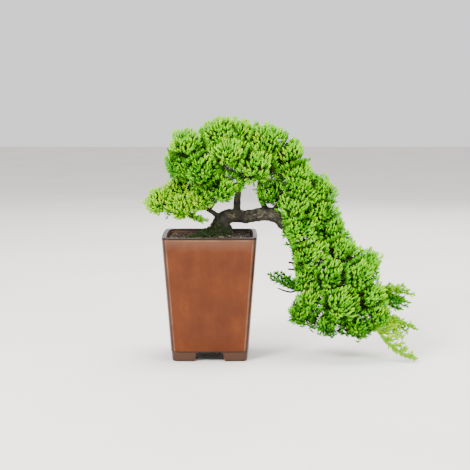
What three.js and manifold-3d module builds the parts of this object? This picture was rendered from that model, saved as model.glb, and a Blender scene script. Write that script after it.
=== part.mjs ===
// A semi-cascade juniper bonsai in a tall square pot.
// Millimetres, +Z up. The cascade hangs towards +X and the front faces -Y.
// The pot stands on z = 0, and its axis at POT_X, POT_Y puts the middle of the plant's box at x = y = 0.

import * as THREE from "three";
import { mergeVertices } from "three/addons/utils/BufferGeometryUtils.js";
import Module from "manifold-3d";

const wasm = await Module();
wasm.setup();

// Driving dimensions
const POT_X = -124;
const POT_Y = 5;
const POT_TOP_WIDTH = 169;
const POT_BASE_WIDTH = 139;
const POT_HEIGHT = 220;
const POT_WALL = 8;
const POT_CORNER = 12;
const POT_BOW = 1.5;
const CORNER_STEPS = 3;
const FOOT_HEIGHT = 17;
const FOOT_GAP_TOP = 45;
const FOOT_GAP_BOTTOM = 53;
const FOOT_ROUND = 3;
const FOOT_STEP = 1;
const LIP_ROUND = 1.5;
const FLOOR_TOP = 26;
const FLOOR_FILLET = 6;
const DRAIN_RADIUS = 12;
const SOIL_TOP = 212;
const MOUND_HEIGHT = 9;
const GRAIN = 3;
const MESH_SIDE = 38;
const MESH_THICKNESS = 1.5;
const STRAND_WIDTH = 3;
const SEAT_GAP = 0.3;
const SLIVER = 0.05;

// A leafy shoot's own sizes, and the core's share of a bunch's reach
const NEEDLE_REACH = 5.2;
const NEEDLE_RISE = 4.4;
const SHOOT_RADIUS = 1.5;
const CORE_SHARE = 0.37;

const GLAZE = new THREE.MeshStandardMaterial({ color: "#a5582f", roughness: 0.35 });
const SOIL = new THREE.MeshStandardMaterial({ color: "#3a2a20", roughness: 0.95 });
const BARK = new THREE.MeshStandardMaterial({ color: "#4a3d30", roughness: 0.9 });
const NEEDLES = new THREE.MeshStandardMaterial({ color: "#5f9a22", roughness: 0.6 });
const YOUNG_NEEDLES = new THREE.MeshStandardMaterial({ color: "#9cc535", roughness: 0.6 });
const BLACK_PLASTIC = new THREE.MeshStandardMaterial({ color: "#202020", roughness: 0.6 });

const vec = (x, y, z) => new THREE.Vector3(x, y, z);

// A small seeded generator, so that each build gives the same plant.
function seeded(seed) {
  let state = seed >>> 0;
  return () => {
    state = (state + 0x6d2b79f5) >>> 0;
    let t = Math.imul(state ^ (state >>> 15), 1 | state);
    t = (t + Math.imul(t ^ (t >>> 7), 61 | t)) ^ t;
    return ((t ^ (t >>> 14)) >>> 0) / 4294967296;
  };
}

function geometryOf(points, faces) {
  const geometry = new THREE.BufferGeometry().setFromPoints(points);
  return geometry.setIndex(faces.flat());
}

function solidOf(geometry) {
  const bare = geometry.clone();
  for (const name of Object.keys(bare.attributes)) if (name !== "position") bare.deleteAttribute(name);
  const merged = mergeVertices(bare, 1e-4);
  return new wasm.Manifold(
    new wasm.Mesh({
      numProp: 3,
      vertProperties: new Float32Array(merged.attributes.position.array),
      triVerts: new Uint32Array(merged.index.array),
    }),
  );
}

function meshOf(name, solid, material) {
  const { numProp, vertProperties, triVerts } = solid.getMesh();
  const geometry = new THREE.BufferGeometry();
  geometry.setAttribute("position", new THREE.BufferAttribute(new Float32Array(vertProperties), numProp));
  geometry.setIndex(new THREE.BufferAttribute(new Uint32Array(triVerts), 1));
  geometry.computeVertexNormals();
  const mesh = new THREE.Mesh(geometry, material);
  mesh.name = name;
  return mesh;
}

// A solid with room cut into it: slivers are smoothed away, and of what is left the largest body stays.
function cutBy(solid, room) {
  const bodies = solid.subtract(room).simplify(SLIVER).decompose();
  return bodies.reduce((best, body) => (body.volume() > best.volume() ? body : best));
}

// A closed skin over rings of equally many points, each ring counter-clockwise seen from the last one.
function loft(rings) {
  const count = rings[0].length;
  const points = rings.flat();
  const faces = [];
  for (let r = 0; r + 1 < rings.length; r++) {
    for (let i = 0; i < count; i++) {
      const a = r * count + i;
      const b = r * count + ((i + 1) % count);
      faces.push([a, b, b + count], [a, b + count, a + count]);
    }
  }
  const middle = (ring) => ring.reduce((sum, p) => sum.add(p), vec(0, 0, 0)).divideScalar(ring.length);
  const bottom = points.push(middle(rings[0])) - 1;
  const top = points.push(middle(rings.at(-1))) - 1;
  const last = (rings.length - 1) * count;
  for (let i = 0; i < count; i++) {
    const next = (i + 1) % count;
    faces.push([bottom, next, i], [top, last + i, last + next]);
  }
  return geometryOf(points, faces);
}

// The pot

// A square with bowed sides and round corners, as points in order, at height z.
function squareRing(width, z) {
  const half = width / 2;
  const centre = half - POT_BOW - POT_CORNER;
  const ring = [];
  for (let quarter = 0; quarter < 4; quarter++) {
    const side = [];
    for (let step = 0; step <= CORNER_STEPS; step++) {
      const angle = (step / CORNER_STEPS) * (Math.PI / 2);
      side.push(vec(centre + POT_CORNER * Math.cos(angle), centre + POT_CORNER * Math.sin(angle), z));
    }
    side.push(vec(0, half, z));
    side.forEach((p) => p.applyAxisAngle(vec(0, 0, 1), (quarter * Math.PI) / 2));
    ring.push(...side);
  }
  return ring;
}

// The outer width of the pot's tapering body at height z.
const potWidth = (z) =>
  POT_BASE_WIDTH + ((POT_TOP_WIDTH - POT_BASE_WIDTH) * (z - FOOT_HEIGHT)) / (POT_HEIGHT - FOOT_HEIGHT);
const potCavity = (z) => potWidth(z) - 2 * POT_WALL;

function pot() {
  const outer = (z, inset = 0) => squareRing(potWidth(z) - 2 * inset, z);
  const cavity = (z, inset = 0) => squareRing(potCavity(z) - 2 * inset, z);
  const skin = loft([
    outer(0, FOOT_STEP + FOOT_ROUND),
    outer(FOOT_ROUND, FOOT_STEP),
    outer(FOOT_HEIGHT - FOOT_STEP, FOOT_STEP),
    outer(FOOT_HEIGHT),
    outer(POT_HEIGHT - LIP_ROUND),
    outer(POT_HEIGHT, LIP_ROUND),
    cavity(POT_HEIGHT, -LIP_ROUND),
    cavity(POT_HEIGHT - LIP_ROUND),
    cavity(FLOOR_TOP + FLOOR_FILLET),
    cavity(FLOOR_TOP, FLOOR_FILLET),
  ]);
  const gapShape = new THREE.Shape();
  const below = -1;
  gapShape.moveTo(-FOOT_GAP_BOTTOM / 2, below);
  gapShape.lineTo(FOOT_GAP_BOTTOM / 2, below);
  gapShape.lineTo(FOOT_GAP_TOP / 2, FOOT_HEIGHT);
  gapShape.lineTo(-FOOT_GAP_TOP / 2, FOOT_HEIGHT);
  const gap = new THREE.ExtrudeGeometry(gapShape, { depth: POT_TOP_WIDTH, bevelEnabled: false });
  gap.translate(0, 0, -POT_TOP_WIDTH / 2).rotateX(Math.PI / 2);
  const drain = new THREE.CylinderGeometry(DRAIN_RADIUS, DRAIN_RADIUS, 2 * FLOOR_TOP, 16);
  drain.rotateX(Math.PI / 2).translate(0, 0, FLOOR_TOP);
  return solidOf(skin)
    .subtract(solidOf(gap))
    .subtract(solidOf(gap.clone().rotateZ(Math.PI / 2)))
    .subtract(solidOf(drain));
}

// The plastic mesh that lies over the drain hole: strands both ways.
function drainMesh() {
  const strands = 3;
  const pitch = (MESH_SIDE - STRAND_WIDTH) / (strands - 1);
  const bars = [];
  for (let i = 0; i < strands; i++) {
    const bar = new THREE.BoxGeometry(MESH_SIDE, STRAND_WIDTH, MESH_THICKNESS);
    bar.translate(0, -(MESH_SIDE - STRAND_WIDTH) / 2 + i * pitch, FLOOR_TOP + SEAT_GAP + MESH_THICKNESS / 2);
    bars.push(solidOf(bar), solidOf(bar.clone().rotateZ(Math.PI / 2)));
  }
  return wasm.Manifold.union(bars).simplify(SLIVER);
}

// The soil

// How high the soil stands: grains all over, and a mound round the foot of the trunk.
function soilHeight(x, y, random) {
  const { at, radius } = TRUNK[0];
  const fromTrunk = Math.hypot(x - at.x, y - at.y);
  const mound = MOUND_HEIGHT * Math.exp(-((fromTrunk / radius) ** 2) / 2);
  return SOIL_TOP + mound + GRAIN * (random() - 0.5);
}

function soil() {
  const random = seeded(11);
  const clear = (z, inset = SEAT_GAP + SLIVER) => squareRing(potCavity(z) - 2 * inset, z);
  const bottom = FLOOR_TOP + MESH_THICKNESS + 2 * SEAT_GAP;
  const rings = [
    clear(bottom, FLOOR_FILLET + SEAT_GAP),
    clear(bottom + FLOOR_FILLET),
    clear(SOIL_TOP - GRAIN / 2),
  ];
  for (const share of [0.8, 0.56, 0.3]) {
    const ring = clear(SOIL_TOP).map((p) => p.setX(p.x * share).setY(p.y * share));
    ring.forEach((p) => p.setZ(soilHeight(p.x, p.y, random)));
    rings.push(ring);
  }
  return solidOf(loft(rings));
}

// The wood

// A limb is a list of places along it, each with its own radius.
const along = (...rows) => rows.map(([x, y, z, radius]) => ({ at: vec(x, y, z), radius }));

const TRUNK = along(
  [18, 2, 168, 22], [19, 1, 196, 25], [19, 0, 214, 24], [20, 0, 228, 20], [21, 0, 240, 16],
  [30, 0, 250, 13], [46, 0, 251, 12], [62, 0, 250, 11.5], [82, -1, 252, 12], [104, -3, 255, 12.5],
  [123, -5, 247, 11.5], [139, -7, 228, 10], [150, -9, 203, 8.5], [156, -11, 180, 7.5],
  [161, -13, 156, 6.8], [170, -15, 132, 6], [188, -18, 108, 5.2], [216, -25, 86, 4.4],
  [250, -34, 68, 3.6], [285, -42, 60, 3],
);
const LIMBS = {
  leader: along([48, 0, 250, 8], [49, 0, 282, 6.2], [52, 3, 312, 5.2], [46, 6, 342, 4.2],
    [32, 4, 372, 3.2], [26, 2, 392, 2.4]),
  leaderLeft: along([50, 2, 300, 4], [28, 2, 318, 3.4], [-4, 2, 338, 2.8], [-34, 4, 352, 2.2]),
  right: along([104, -3, 256, 6], [92, 3, 280, 5], [88, 6, 308, 4.2], [100, 6, 344, 3.2], [102, 2, 374, 2.4]),
  farRight: along([108, -3, 254, 5], [126, 0, 278, 4.2], [146, 2, 312, 3.4], [150, 2, 344, 2.4]),
  left: along([19, -2, 246, 6], [4, -6, 259, 4.4], [-20, -10, 270, 3.4], [-50, -12, 277, 2.8],
    [-82, -12, 276, 2.2]),
  shoulder: along([139, -7, 228, 4.6], [160, -6, 248, 4], [184, -8, 272, 3.2], [198, -8, 296, 2.4]),
  middle: along([152, -10, 196, 4.2], [180, -12, 202, 3.6], [212, -14, 214, 2.8], [232, -14, 222, 2.2]),
  outer: along([160, -12, 163, 4], [198, -16, 162, 3.4], [244, -18, 158, 2.8], [282, -14, 160, 2.2]),
  lower: along([170, -15, 132, 3.6], [206, -26, 118, 3], [250, -30, 108, 2.6], [282, -34, 104, 2]),
};
const ROOTS = [
  along([14, -4, 214, 11], [-6, -9, 214, 8], [-24, -15, 208, 5], [-36, -20, 197, 3]),
  along([18, -6, 210, 10], [14, -26, 209, 7], [6, -42, 201, 4], [2, -50, 190, 2.5]),
  along([26, -2, 208, 9], [44, -10, 206, 6], [58, -18, 197, 3]),
  along([20, 8, 210, 10], [24, 28, 207, 6.5], [30, 44, 196, 3.5]),
];

// A tapering, slightly lobed stem along a smooth curve through the places. grown thickens it, ends too.
function stem(places, sides, steps, grown = 0, lobes = 0) {
  const curve = new THREE.CatmullRomCurve3(places.map((p) => p.at), false, "centripetal");
  const frames = curve.computeFrenetFrames(steps, false);
  const radiusAt = (u) => {
    const t = u * (places.length - 1);
    const i = Math.min(Math.floor(t), places.length - 2);
    return THREE.MathUtils.lerp(places[i].radius, places[i + 1].radius, t - i);
  };
  const rings = [];
  for (let s = 0; s <= steps; s++) {
    const u = s / steps;
    const t = curve.getUtoTmapping(u);
    const centre = curve.getPoint(t);
    const end = s === 0 ? -grown : s === steps ? grown : 0;
    centre.addScaledVector(frames.tangents[s], end);
    const ring = [];
    for (let i = 0; i < sides; i++) {
      const angle = (2 * Math.PI * i) / sides;
      const ridge = 1 + lobes * (Math.sin(3 * angle + 5 * u) + 0.7 * Math.sin(5 * angle - 9 * u + s * 1.7));
      const radius = radiusAt(t) * ridge + grown / Math.cos(Math.PI / sides);
      const out = frames.normals[s].clone().multiplyScalar(Math.cos(angle));
      out.addScaledVector(frames.binormals[s], Math.sin(angle));
      ring.push(centre.clone().addScaledVector(out, radius));
    }
    rings.push(ring);
  }
  return solidOf(loft(rings));
}

// The foliage

// A bunch of leafy shoots at a twig's end: its middle and how far it reaches.
const bunches = (name, ...rows) =>
  rows.map(([x, y, z, reach], i) => ({
    name: `${name}_${String(i + 1).padStart(2, "0")}`,
    at: vec(x, y, z),
    reach,
  }));
const BUNCHES = [
  ...bunches("crown_front", [-39, -44, 381, 33], [-52, -34, 348, 29], [-14, -52, 340, 31], [20, -22, 399, 34],
    [34, -54, 366, 31], [20, -46, 304, 29], [81, -50, 344, 34], [101, -22, 387, 34], [140, -26, 364, 31],
    [153, -34, 328, 30]),
  ...bunches("crown_middle", [-12, -6, 306, 25], [57, -8, 395, 30], [110, -18, 294, 28]),
  ...bunches("crown_back", [-44, 34, 352, 34], [10, 38, 380, 35], [62, 46, 370, 34], [114, 42, 350, 35],
    [156, 34, 318, 33], [4, 44, 326, 31]),
  ...bunches("left", [-91, -22, 280, 27], [-54, -6, 301, 25], [-52, -36, 271, 25], [-17, -38, 284, 23],
    [-60, 24, 284, 29]),
  ...bunches("shoulder", [164, -34, 302, 29], [195, -12, 298, 30], [150, -46, 268, 29], [196, -26, 262, 31],
    [186, 34, 280, 33]),
  ...bunches("cascade_front", [160, -50, 233, 31], [215, -18, 228, 30], [176, -52, 189, 31],
    [234, -38, 192, 32], [170, -42, 149, 26], [216, -58, 149, 31], [262, -50, 152, 31], [281, -20, 169, 28],
    [178, -52, 111, 28], [228, -68, 105, 30], [282, -54, 118, 31], [164, -38, 82, 26], [207, -56, 68, 28],
    [258, -58, 62, 27], [299, -54, 82, 27]),
  ...bunches("cascade_back", [198, 34, 230, 33], [228, 26, 182, 33], [206, 14, 130, 32], [262, 14, 124, 32],
    [240, -4, 82, 29]),
];

// Trailing shoots: a long young stem, leafy all along, with leafy side shoots that stand up from it, or
// hang where rise is -1.
const trail = (name, sideShoots, rise, ...rows) => ({
  name,
  sideShoots,
  rise,
  places: rows.map(([x, y, z]) => vec(x, y, z)),
});
const TRAILS = [
  trail("tail_low", 4, 1, [304, -58, 51], [315, -60, 34], [332, -65, 19], [360, -72, 8]),
  trail("tail_middle", 3, 1, [320, -52, 74], [336, -50, 66], [352, -52, 60], [367, -54, 55]),
  trail("tail_upper", 3, 1, [306, -24, 120], [324, -24, 121], [344, -26, 118], [364, -28, 114]),
  trail("tail_under", 3, 1, [308, -30, 101], [322, -30, 98], [338, -32, 95], [356, -34, 92]),
  trail("inner_sprig", 3, 1, [150, -28, 125], [136, -32, 132], [120, -37, 143], [103, -42, 153]),
  trail("left_sprig", 1, 1, [-30, -30, 256], [-26, -34, 248], [-14, -36, 245], [-4, -38, 242]),
];

// A bunch keeps to its own side of a plane between it and each neighbour, and off the trailing shoots.
const CELL_GAP = 0.25;
const TRAIL_ROOM = 8;
function cellOf(own, trailPlaces) {
  const planes = BUNCHES.filter((other) => other !== own).map((other) => {
    const normal = other.at.clone().sub(own.at);
    const distance = normal.length();
    const limit = (distance ** 2 + own.reach ** 2 - other.reach ** 2) / (2 * distance) - CELL_GAP;
    return { normal: normal.divideScalar(distance), limit };
  });
  for (const place of trailPlaces) {
    const normal = place.clone().sub(own.at);
    const distance = normal.length();
    planes.push({ normal: normal.divideScalar(distance), limit: distance - TRAIL_ROOM });
  }
  return (point, room = 0) =>
    planes.every(({ normal, limit }) => point.clone().sub(own.at).dot(normal) < limit - room);
}

// The cone from a middle through a triangle: shoots that keep to their own cones never cross.
function coneOf(middle, corners) {
  const normals = corners.map((corner, i) =>
    corner.clone().sub(middle).cross(corners[(i + 1) % 3].clone().sub(middle)).normalize(),
  );
  return (point, room = 0) =>
    normals.every((normal) => point.clone().sub(middle).dot(normal) > CELL_GAP + room);
}

const centroid = (corners) =>
  corners.reduce((sum, p) => sum.add(p), vec(0, 0, 0)).divideScalar(corners.length);

// The three faces that stand on a triangle of points and meet at a tip.
const raised = (a, b, c, tip) => [[a, b, tip], [b, c, tip], [c, a, tip]];

// A leafy shoot on a triangle of points: a slim three-sided stem through the places, and on each of its
// sides needles whose feet run down along it, as a juniper's do. It ends in a tip. Where branchAt gives
// places for a level and a side, a shoot of its own stands there instead of a needle.
function growShoot(points, faces, base, places, radii, allowed, branchAt = () => null) {
  const foot = centroid(base.map((i) => points[i]));
  const spokes = base.map((i) => points[i].clone().sub(foot));
  let ring = base;
  places.slice(0, -1).forEach((place, level) => {
    const axis = places[level + 1].clone().sub(place).normalize();
    const next = spokes.map((spoke) => {
      spoke.addScaledVector(axis, -spoke.dot(axis)).setLength(radii[level]);
      return points.push(place.clone().add(spoke)) - 1;
    });
    for (let i = 0; i < 3; i++) {
      const j = (i + 1) % 3;
      const out = spokes[i].clone().add(spokes[j]).normalize();
      const sides = [[ring[i], ring[j], next[j]], [ring[i], next[j], next[i]]];
      sides.forEach((side, half) => {
        if (level === 0) {
          faces.push(side);
          return;
        }
        const root = centroid(side.map((k) => points[k]));
        const branch = half === 0 && branchAt(level, i, root, out, axis);
        if (branch) {
          growShoot(points, faces, side, branch, [SHOOT_RADIUS * 0.8, SHOOT_RADIUS * 0.6], allowed);
          return;
        }
        let share = 1;
        const tipAt = () =>
          root.clone().addScaledVector(out, NEEDLE_REACH * share).addScaledVector(axis, NEEDLE_RISE * share);
        while (share > 0.15 && !allowed(tipAt())) share *= 0.85;
        faces.push(...raised(...side, points.push(tipAt()) - 1));
      });
    }
    ring = next;
  });
  faces.push(...raised(...ring, points.push(places.at(-1)) - 1));
}

// The core of a bunch: two low pyramids foot to foot on the twig's line, with so many sides.
function coreOf(own, axis, sides, random) {
  const across = axis.clone().cross(Math.abs(axis.x) < 0.7 ? vec(1, 0, 0) : vec(0, 1, 0)).normalize();
  across.applyAxisAngle(axis, random() * Math.PI);
  const size = own.reach * CORE_SHARE;
  const points = Array.from({ length: sides }, (_, i) => {
    const angle = ((i + 0.3 * random()) * 2 * Math.PI) / sides;
    return own.at.clone().addScaledVector(across.clone().applyAxisAngle(axis, angle), size);
  });
  points.push(own.at.clone().addScaledVector(axis, size), own.at.clone().addScaledVector(axis, -size));
  const faces = [];
  for (let i = 0; i < sides; i++) {
    const j = (i + 1) % sides;
    faces.push([i, j, sides], [j, i, sides + 1]);
  }
  return { points, faces };
}

// A bunch: a small core round the twig's end, leafy shoots on nearly all its sides, as long as there is
// room, and a short tuft where there is none.
const SHOOT_STAGES = [0.5, 0.8, 1.05];
const SHOOT_LENGTHS = [1, 0.9, 0.8, 0.7, 0.6];
function bunchSolid(own, twigFrom, free, random) {
  const axis = own.at.clone().sub(twigFrom).normalize().add(vec(0, 0, 0.5)).normalize();
  const sides = own.reach < 27 ? 4 : 5;
  const bareSides = sides - 3;
  const core = coreOf(own, axis, sides, random);
  const points = core.points;
  while (!points.every((p) => free(p))) points.forEach((p) => p.lerp(own.at, 0.06));
  const order = core.faces.map((face) => {
    const corners = face.map((i) => points[i]);
    const out = centroid(corners).sub(own.at).normalize();
    const upper = out.dot(axis) > 0;
    const lean = out.clone().addScaledVector(axis, upper ? 0.1 : 0.25).add(vec(0, 0, 0.08)).normalize();
    return { face, corners, out, lean, worth: lean.dot(axis) + random() * 0.4 };
  });
  order.sort((a, b) => b.worth - a.worth);
  const faces = [];
  order.forEach(({ face, corners, out, lean }, rank) => {
    const cone = coneOf(own.at, corners);
    const allowed = (point, room) => free(point, room) && cone(point, room);
    const stretch = own.reach * (0.92 + 0.14 * random());
    const stagesAt = (length) =>
      SHOOT_STAGES.map((share, i) => {
        const way = out.clone().lerp(lean, Math.min(1, 0.5 + 0.5 * i)).normalize();
        return own.at.clone().addScaledVector(way, stretch * length * share);
      });
    const hasRoom = (stops) => stops.every((p, i) => allowed(p, i < stops.length - 1 ? SHOOT_RADIUS : 0));
    const length = SHOOT_LENGTHS.find((share) => hasRoom(stagesAt(share)));
    if (length && rank < order.length - bareSides) {
      const radii = [SHOOT_RADIUS, SHOOT_RADIUS * 0.8];
      growShoot(points, faces, face, stagesAt(length), radii, allowed);
      return;
    }
    const floor = centroid(corners).distanceTo(own.at) + 0.4;
    let tuft = own.reach * 0.55;
    while (tuft > floor && !free(own.at.clone().addScaledVector(out, tuft))) tuft *= 0.9;
    const tip = own.at.clone().addScaledVector(out, Math.max(tuft, floor));
    faces.push(...raised(...face, points.push(tip) - 1));
  });
  return solidOf(geometryOf(points, faces));
}

// A trailing shoot, closed at its foot, with side shoots by turns on two of its sides.
function trailSolid({ places, sideShoots, rise }) {
  const spine = new THREE.CatmullRomCurve3(places).getSpacedPoints(places.length + 2);
  const start = spine[0];
  const axis = spine[1].clone().sub(start).normalize();
  const up = vec(0, 0, rise * SHOOT_RADIUS);
  up.addScaledVector(axis, -up.dot(axis)).setLength(SHOOT_RADIUS);
  const corner = (k) => start.clone().add(up.clone().applyAxisAngle(axis, (k * 2 * Math.PI) / 3));
  const points = [0, 1, 2].map(corner);
  const faces = [[2, 1, 0]];
  const radii = spine.slice(1).map((_, i) => SHOOT_RADIUS * (1 - (0.5 * i) / spine.length));
  const branchAt = (level, side, root, out, ahead) => {
    if (level > sideShoots || side !== (level % 2) * 2) return null;
    const way = ahead.clone().multiplyScalar(0.6).add(out).normalize();
    const length = 25 - 2.5 * level;
    return [0.42, 0.75, 1].map((share) => root.clone().addScaledVector(way, share * length));
  };
  growShoot(points, faces, [0, 1, 2], spine.slice(1), radii, () => true, branchAt);
  return solidOf(geometryOf(points, faces));
}

// The twigs

// Each bunch and trailing shoot has one twig, from the nearest place on a limb, set back a little.
const LIMB_SAMPLES = [TRUNK.slice(6), ...Object.values(LIMBS)].map((places) => {
  const curve = new THREE.CatmullRomCurve3(places.map((p) => p.at), false, "centripetal");
  return curve.getPoints(40);
});

function twigTo(end) {
  const nearest = { distance: Infinity };
  for (const samples of LIMB_SAMPLES) {
    samples.forEach((at, i) => {
      const distance = at.distanceTo(end);
      if (distance < nearest.distance) Object.assign(nearest, { distance, samples, i });
    });
  }
  const back = Math.round(Math.min(nearest.distance * 0.12, nearest.i));
  const from = nearest.samples[nearest.i - back];
  const middle = from.clone().lerp(end, 0.55).add(vec(0, 0, 0.1 * nearest.distance));
  return { from, middle, end, steps: nearest.distance > 40 ? 2 : 1 };
}

const twigPlaces = (from, middle, end) => [
  { at: from, radius: 2.3 },
  { at: middle, radius: 1.9 },
  { at: end, radius: 1.4 },
];

// All the wood in one piece. grown thickens it all round, for the room it needs in what it stands in.
function woodSolid(twigs, grown) {
  return wasm.Manifold.union([
    stem(TRUNK, 9, 25, grown, 0.06),
    ...Object.values(LIMBS).map((places) => stem(places, 5, places.length + 1, grown)),
    ...ROOTS.map((places) => stem(places, 5, 2, grown)),
    ...twigs.map(({ from, middle, end, steps }) =>
      stem(twigPlaces(from, middle, end), 3, steps, grown),
    ),
  ]).simplify(SLIVER);
}

function build() {
  const random = seeded(7);
  const twigs = BUNCHES.map((own) => twigTo(own.at));
  const trailTwigs = TRAILS.map(({ places }) => twigTo(places[0].clone().lerp(places[1], 0.25)));
  const allTwigs = [...twigs, ...trailTwigs];
  const room = woodSolid(allTwigs, SEAT_GAP + 0.05);
  const trailPlaces = TRAILS.flatMap(({ places }) => new THREE.CatmullRomCurve3(places).getPoints(12));
  const group = new THREE.Group();
  group.position.set(POT_X, POT_Y, 0);
  group.add(meshOf("pot", pot(), GLAZE));
  group.add(meshOf("drain_mesh", drainMesh(), BLACK_PLASTIC));
  group.add(meshOf("soil", cutBy(soil(), room), SOIL));
  group.add(meshOf("wood", woodSolid(allTwigs, 0), BARK));
  for (const own of TRAILS) {
    group.add(meshOf(own.name, cutBy(trailSolid(own), room), YOUNG_NEEDLES));
  }
  BUNCHES.forEach((own, i) => {
    const solid = bunchSolid(own, twigs[i].middle, cellOf(own, trailPlaces), random);
    group.add(meshOf(own.name, cutBy(solid, room), NEEDLES));
  });
  return group;
}

export default build();
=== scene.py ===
import math

import bpy
import numpy as np
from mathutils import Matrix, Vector, kdtree, noise


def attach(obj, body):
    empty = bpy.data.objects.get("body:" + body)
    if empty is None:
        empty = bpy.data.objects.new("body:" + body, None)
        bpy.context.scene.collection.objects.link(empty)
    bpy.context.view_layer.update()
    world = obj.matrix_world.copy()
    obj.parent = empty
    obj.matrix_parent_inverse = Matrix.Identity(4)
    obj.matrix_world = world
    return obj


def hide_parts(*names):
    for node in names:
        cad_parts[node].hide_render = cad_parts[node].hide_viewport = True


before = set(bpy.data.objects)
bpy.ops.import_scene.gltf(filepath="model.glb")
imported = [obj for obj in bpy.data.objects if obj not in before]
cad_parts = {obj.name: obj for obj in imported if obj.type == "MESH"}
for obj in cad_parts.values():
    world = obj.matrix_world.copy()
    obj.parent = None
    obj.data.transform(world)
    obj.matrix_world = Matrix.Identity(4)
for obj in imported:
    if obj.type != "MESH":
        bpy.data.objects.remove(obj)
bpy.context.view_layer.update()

# Camera: level with the crown, a little above it, looking straight at the plant's front from about
# two and a half metres with a long lens, so the pot's sides stay nearly parallel.
LENS_MM = 107
CAMERA_PLACE = (-0.0794, -2.477, 0.4902)
CAMERA_DIP = 6.29
camera_data = bpy.data.cameras.new("camera")
camera_data.sensor_width = 36
camera_data.lens = LENS_MM
camera_data.clip_end = 60
camera = bpy.data.objects.new("camera", camera_data)
camera.location = CAMERA_PLACE
camera.rotation_euler = (math.radians(90 - CAMERA_DIP), 0, 0)
bpy.context.scene.collection.objects.link(camera)
bpy.context.scene.camera = camera


# Pot: one hollow stoneware piece, square and tapering, pressed in a mould and glazed brown
# orange. It stands on four corner feet and has one drain hole.
MM = 0.001
POT_AXIS = np.array([-124.0, 5.0, 0.0])
POT_TOP_WIDTH = 169
POT_BASE_WIDTH = 139
POT_HEIGHT = 220
POT_WALL = 8
POT_CORNER = 12
POT_BOW = 1.5
FOOT_HEIGHT = 17
FOOT_GAP_TOP = 45
FOOT_GAP_BOTTOM = 53
FOOT_ROUND = 3
FOOT_STEP = 1
FOOT_EDGE = 2.5
FOOT_INNER_EDGE = 5.0
SOLE_FLARE = 0.35
LIP_ROUND = 1.5
BASE_ROUND = 1.2
FLOOR_TOP = 26
FLOOR_FILLET = 6
DRAIN_RADIUS = 12


def piece_from(name, points, face_lists, uv=None, smooth=False):
    """A mesh object from points in millimetres and arrays of faces with equally many corners."""
    mesh = bpy.data.meshes.new(name)
    mesh.vertices.add(len(points))
    mesh.vertices.foreach_set("co", (np.asarray(points) * MM).astype(np.float32).ravel())
    loops = np.concatenate([np.asarray(faces).ravel() for faces in face_lists])
    sizes = np.concatenate([np.full(len(faces), np.asarray(faces).shape[1]) for faces in face_lists])
    mesh.loops.add(len(loops))
    mesh.loops.foreach_set("vertex_index", loops.astype(np.int32))
    mesh.polygons.add(len(sizes))
    mesh.polygons.foreach_set("loop_start", (np.cumsum(sizes) - sizes).astype(np.int32))
    mesh.polygons.foreach_set("use_smooth", np.full(len(sizes), smooth))
    if uv is not None:
        layer = mesh.uv_layers.new(name="OFBake")
        layer.data.foreach_set("uv", uv[loops].astype(np.float32).ravel())
    mesh.update(calc_edges=True)
    mesh.validate()
    piece = bpy.data.objects.new(name, mesh)
    bpy.context.scene.collection.objects.link(piece)
    return piece


def loft(rings, closed=False, first=0):
    """Points and quads of a skin over rings of equally many points; closed joins last to first."""
    rings = np.asarray(rings, float)
    count, sides = rings.shape[:2]
    level, side = np.meshgrid(np.arange(count if closed else count - 1), np.arange(sides), indexing="ij")
    level, side = level.ravel(), side.ravel()
    above, beside = (level + 1) % count, (side + 1) % sides
    quads = np.stack([level * sides + side, level * sides + beside,
                      above * sides + beside, above * sides + side], 1)
    return rings.reshape(-1, 3), quads + first


def lofts(stacks, first=0):
    """Points, quads and end faces of skins that are closed at both ends, one over each stack of rings."""
    points, quads, ends = [], [], []
    for rings in stacks:
        skin_part, faces = loft(rings, first=first)
        points.append(skin_part)
        quads.append(faces)
        ends.append(np.arange(first, first + len(rings[0]))[::-1])
        first += len(skin_part)
        ends.append(np.arange(first - len(rings[0]), first))
    return np.concatenate(points), np.concatenate(quads), np.array(ends)


CORNER_STEPS = 8
SIDE_STEPS = 12
GUIDE_WIDTH = 60


def square_ring(width, z):
    """A square with bowed sides and round corners at height z, round the pot's axis."""
    half = width / 2
    straight = half - POT_BOW - POT_CORNER
    quarter = []
    for step in range(CORNER_STEPS + 1):
        angle = step / CORNER_STEPS * math.pi / 2
        quarter.append((straight + POT_CORNER * math.cos(angle), straight + POT_CORNER * math.sin(angle)))
    for step in range(1, SIDE_STEPS):
        across = straight * (1 - 2 * step / SIDE_STEPS)
        quarter.append((across, half - POT_BOW * (across / straight) ** 2))
    ring = list(quarter)
    for _ in range(3):
        quarter = [(-y, x) for x, y in quarter]
        ring += quarter
    return np.array([(x, y, z) for x, y in ring])


def round_ring(radius, z):
    """A circle with the points in step with the square ring's."""
    guide = square_ring(GUIDE_WIDTH, z)
    angles = np.arctan2(guide[:, 1], guide[:, 0])
    return np.stack([radius * np.cos(angles), radius * np.sin(angles), np.full(len(angles), z)], 1)


def pot_width(z):
    return POT_BASE_WIDTH + (POT_TOP_WIDTH - POT_BASE_WIDTH) * (z - FOOT_HEIGHT) / (POT_HEIGHT - FOOT_HEIGHT)


def pot_outside(z, inset=0.0):
    return square_ring(pot_width(z) - 2 * inset, z)


def pot_inside(z, inset=0.0):
    return square_ring(pot_width(z) - 2 * POT_WALL - 2 * inset, z)


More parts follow.
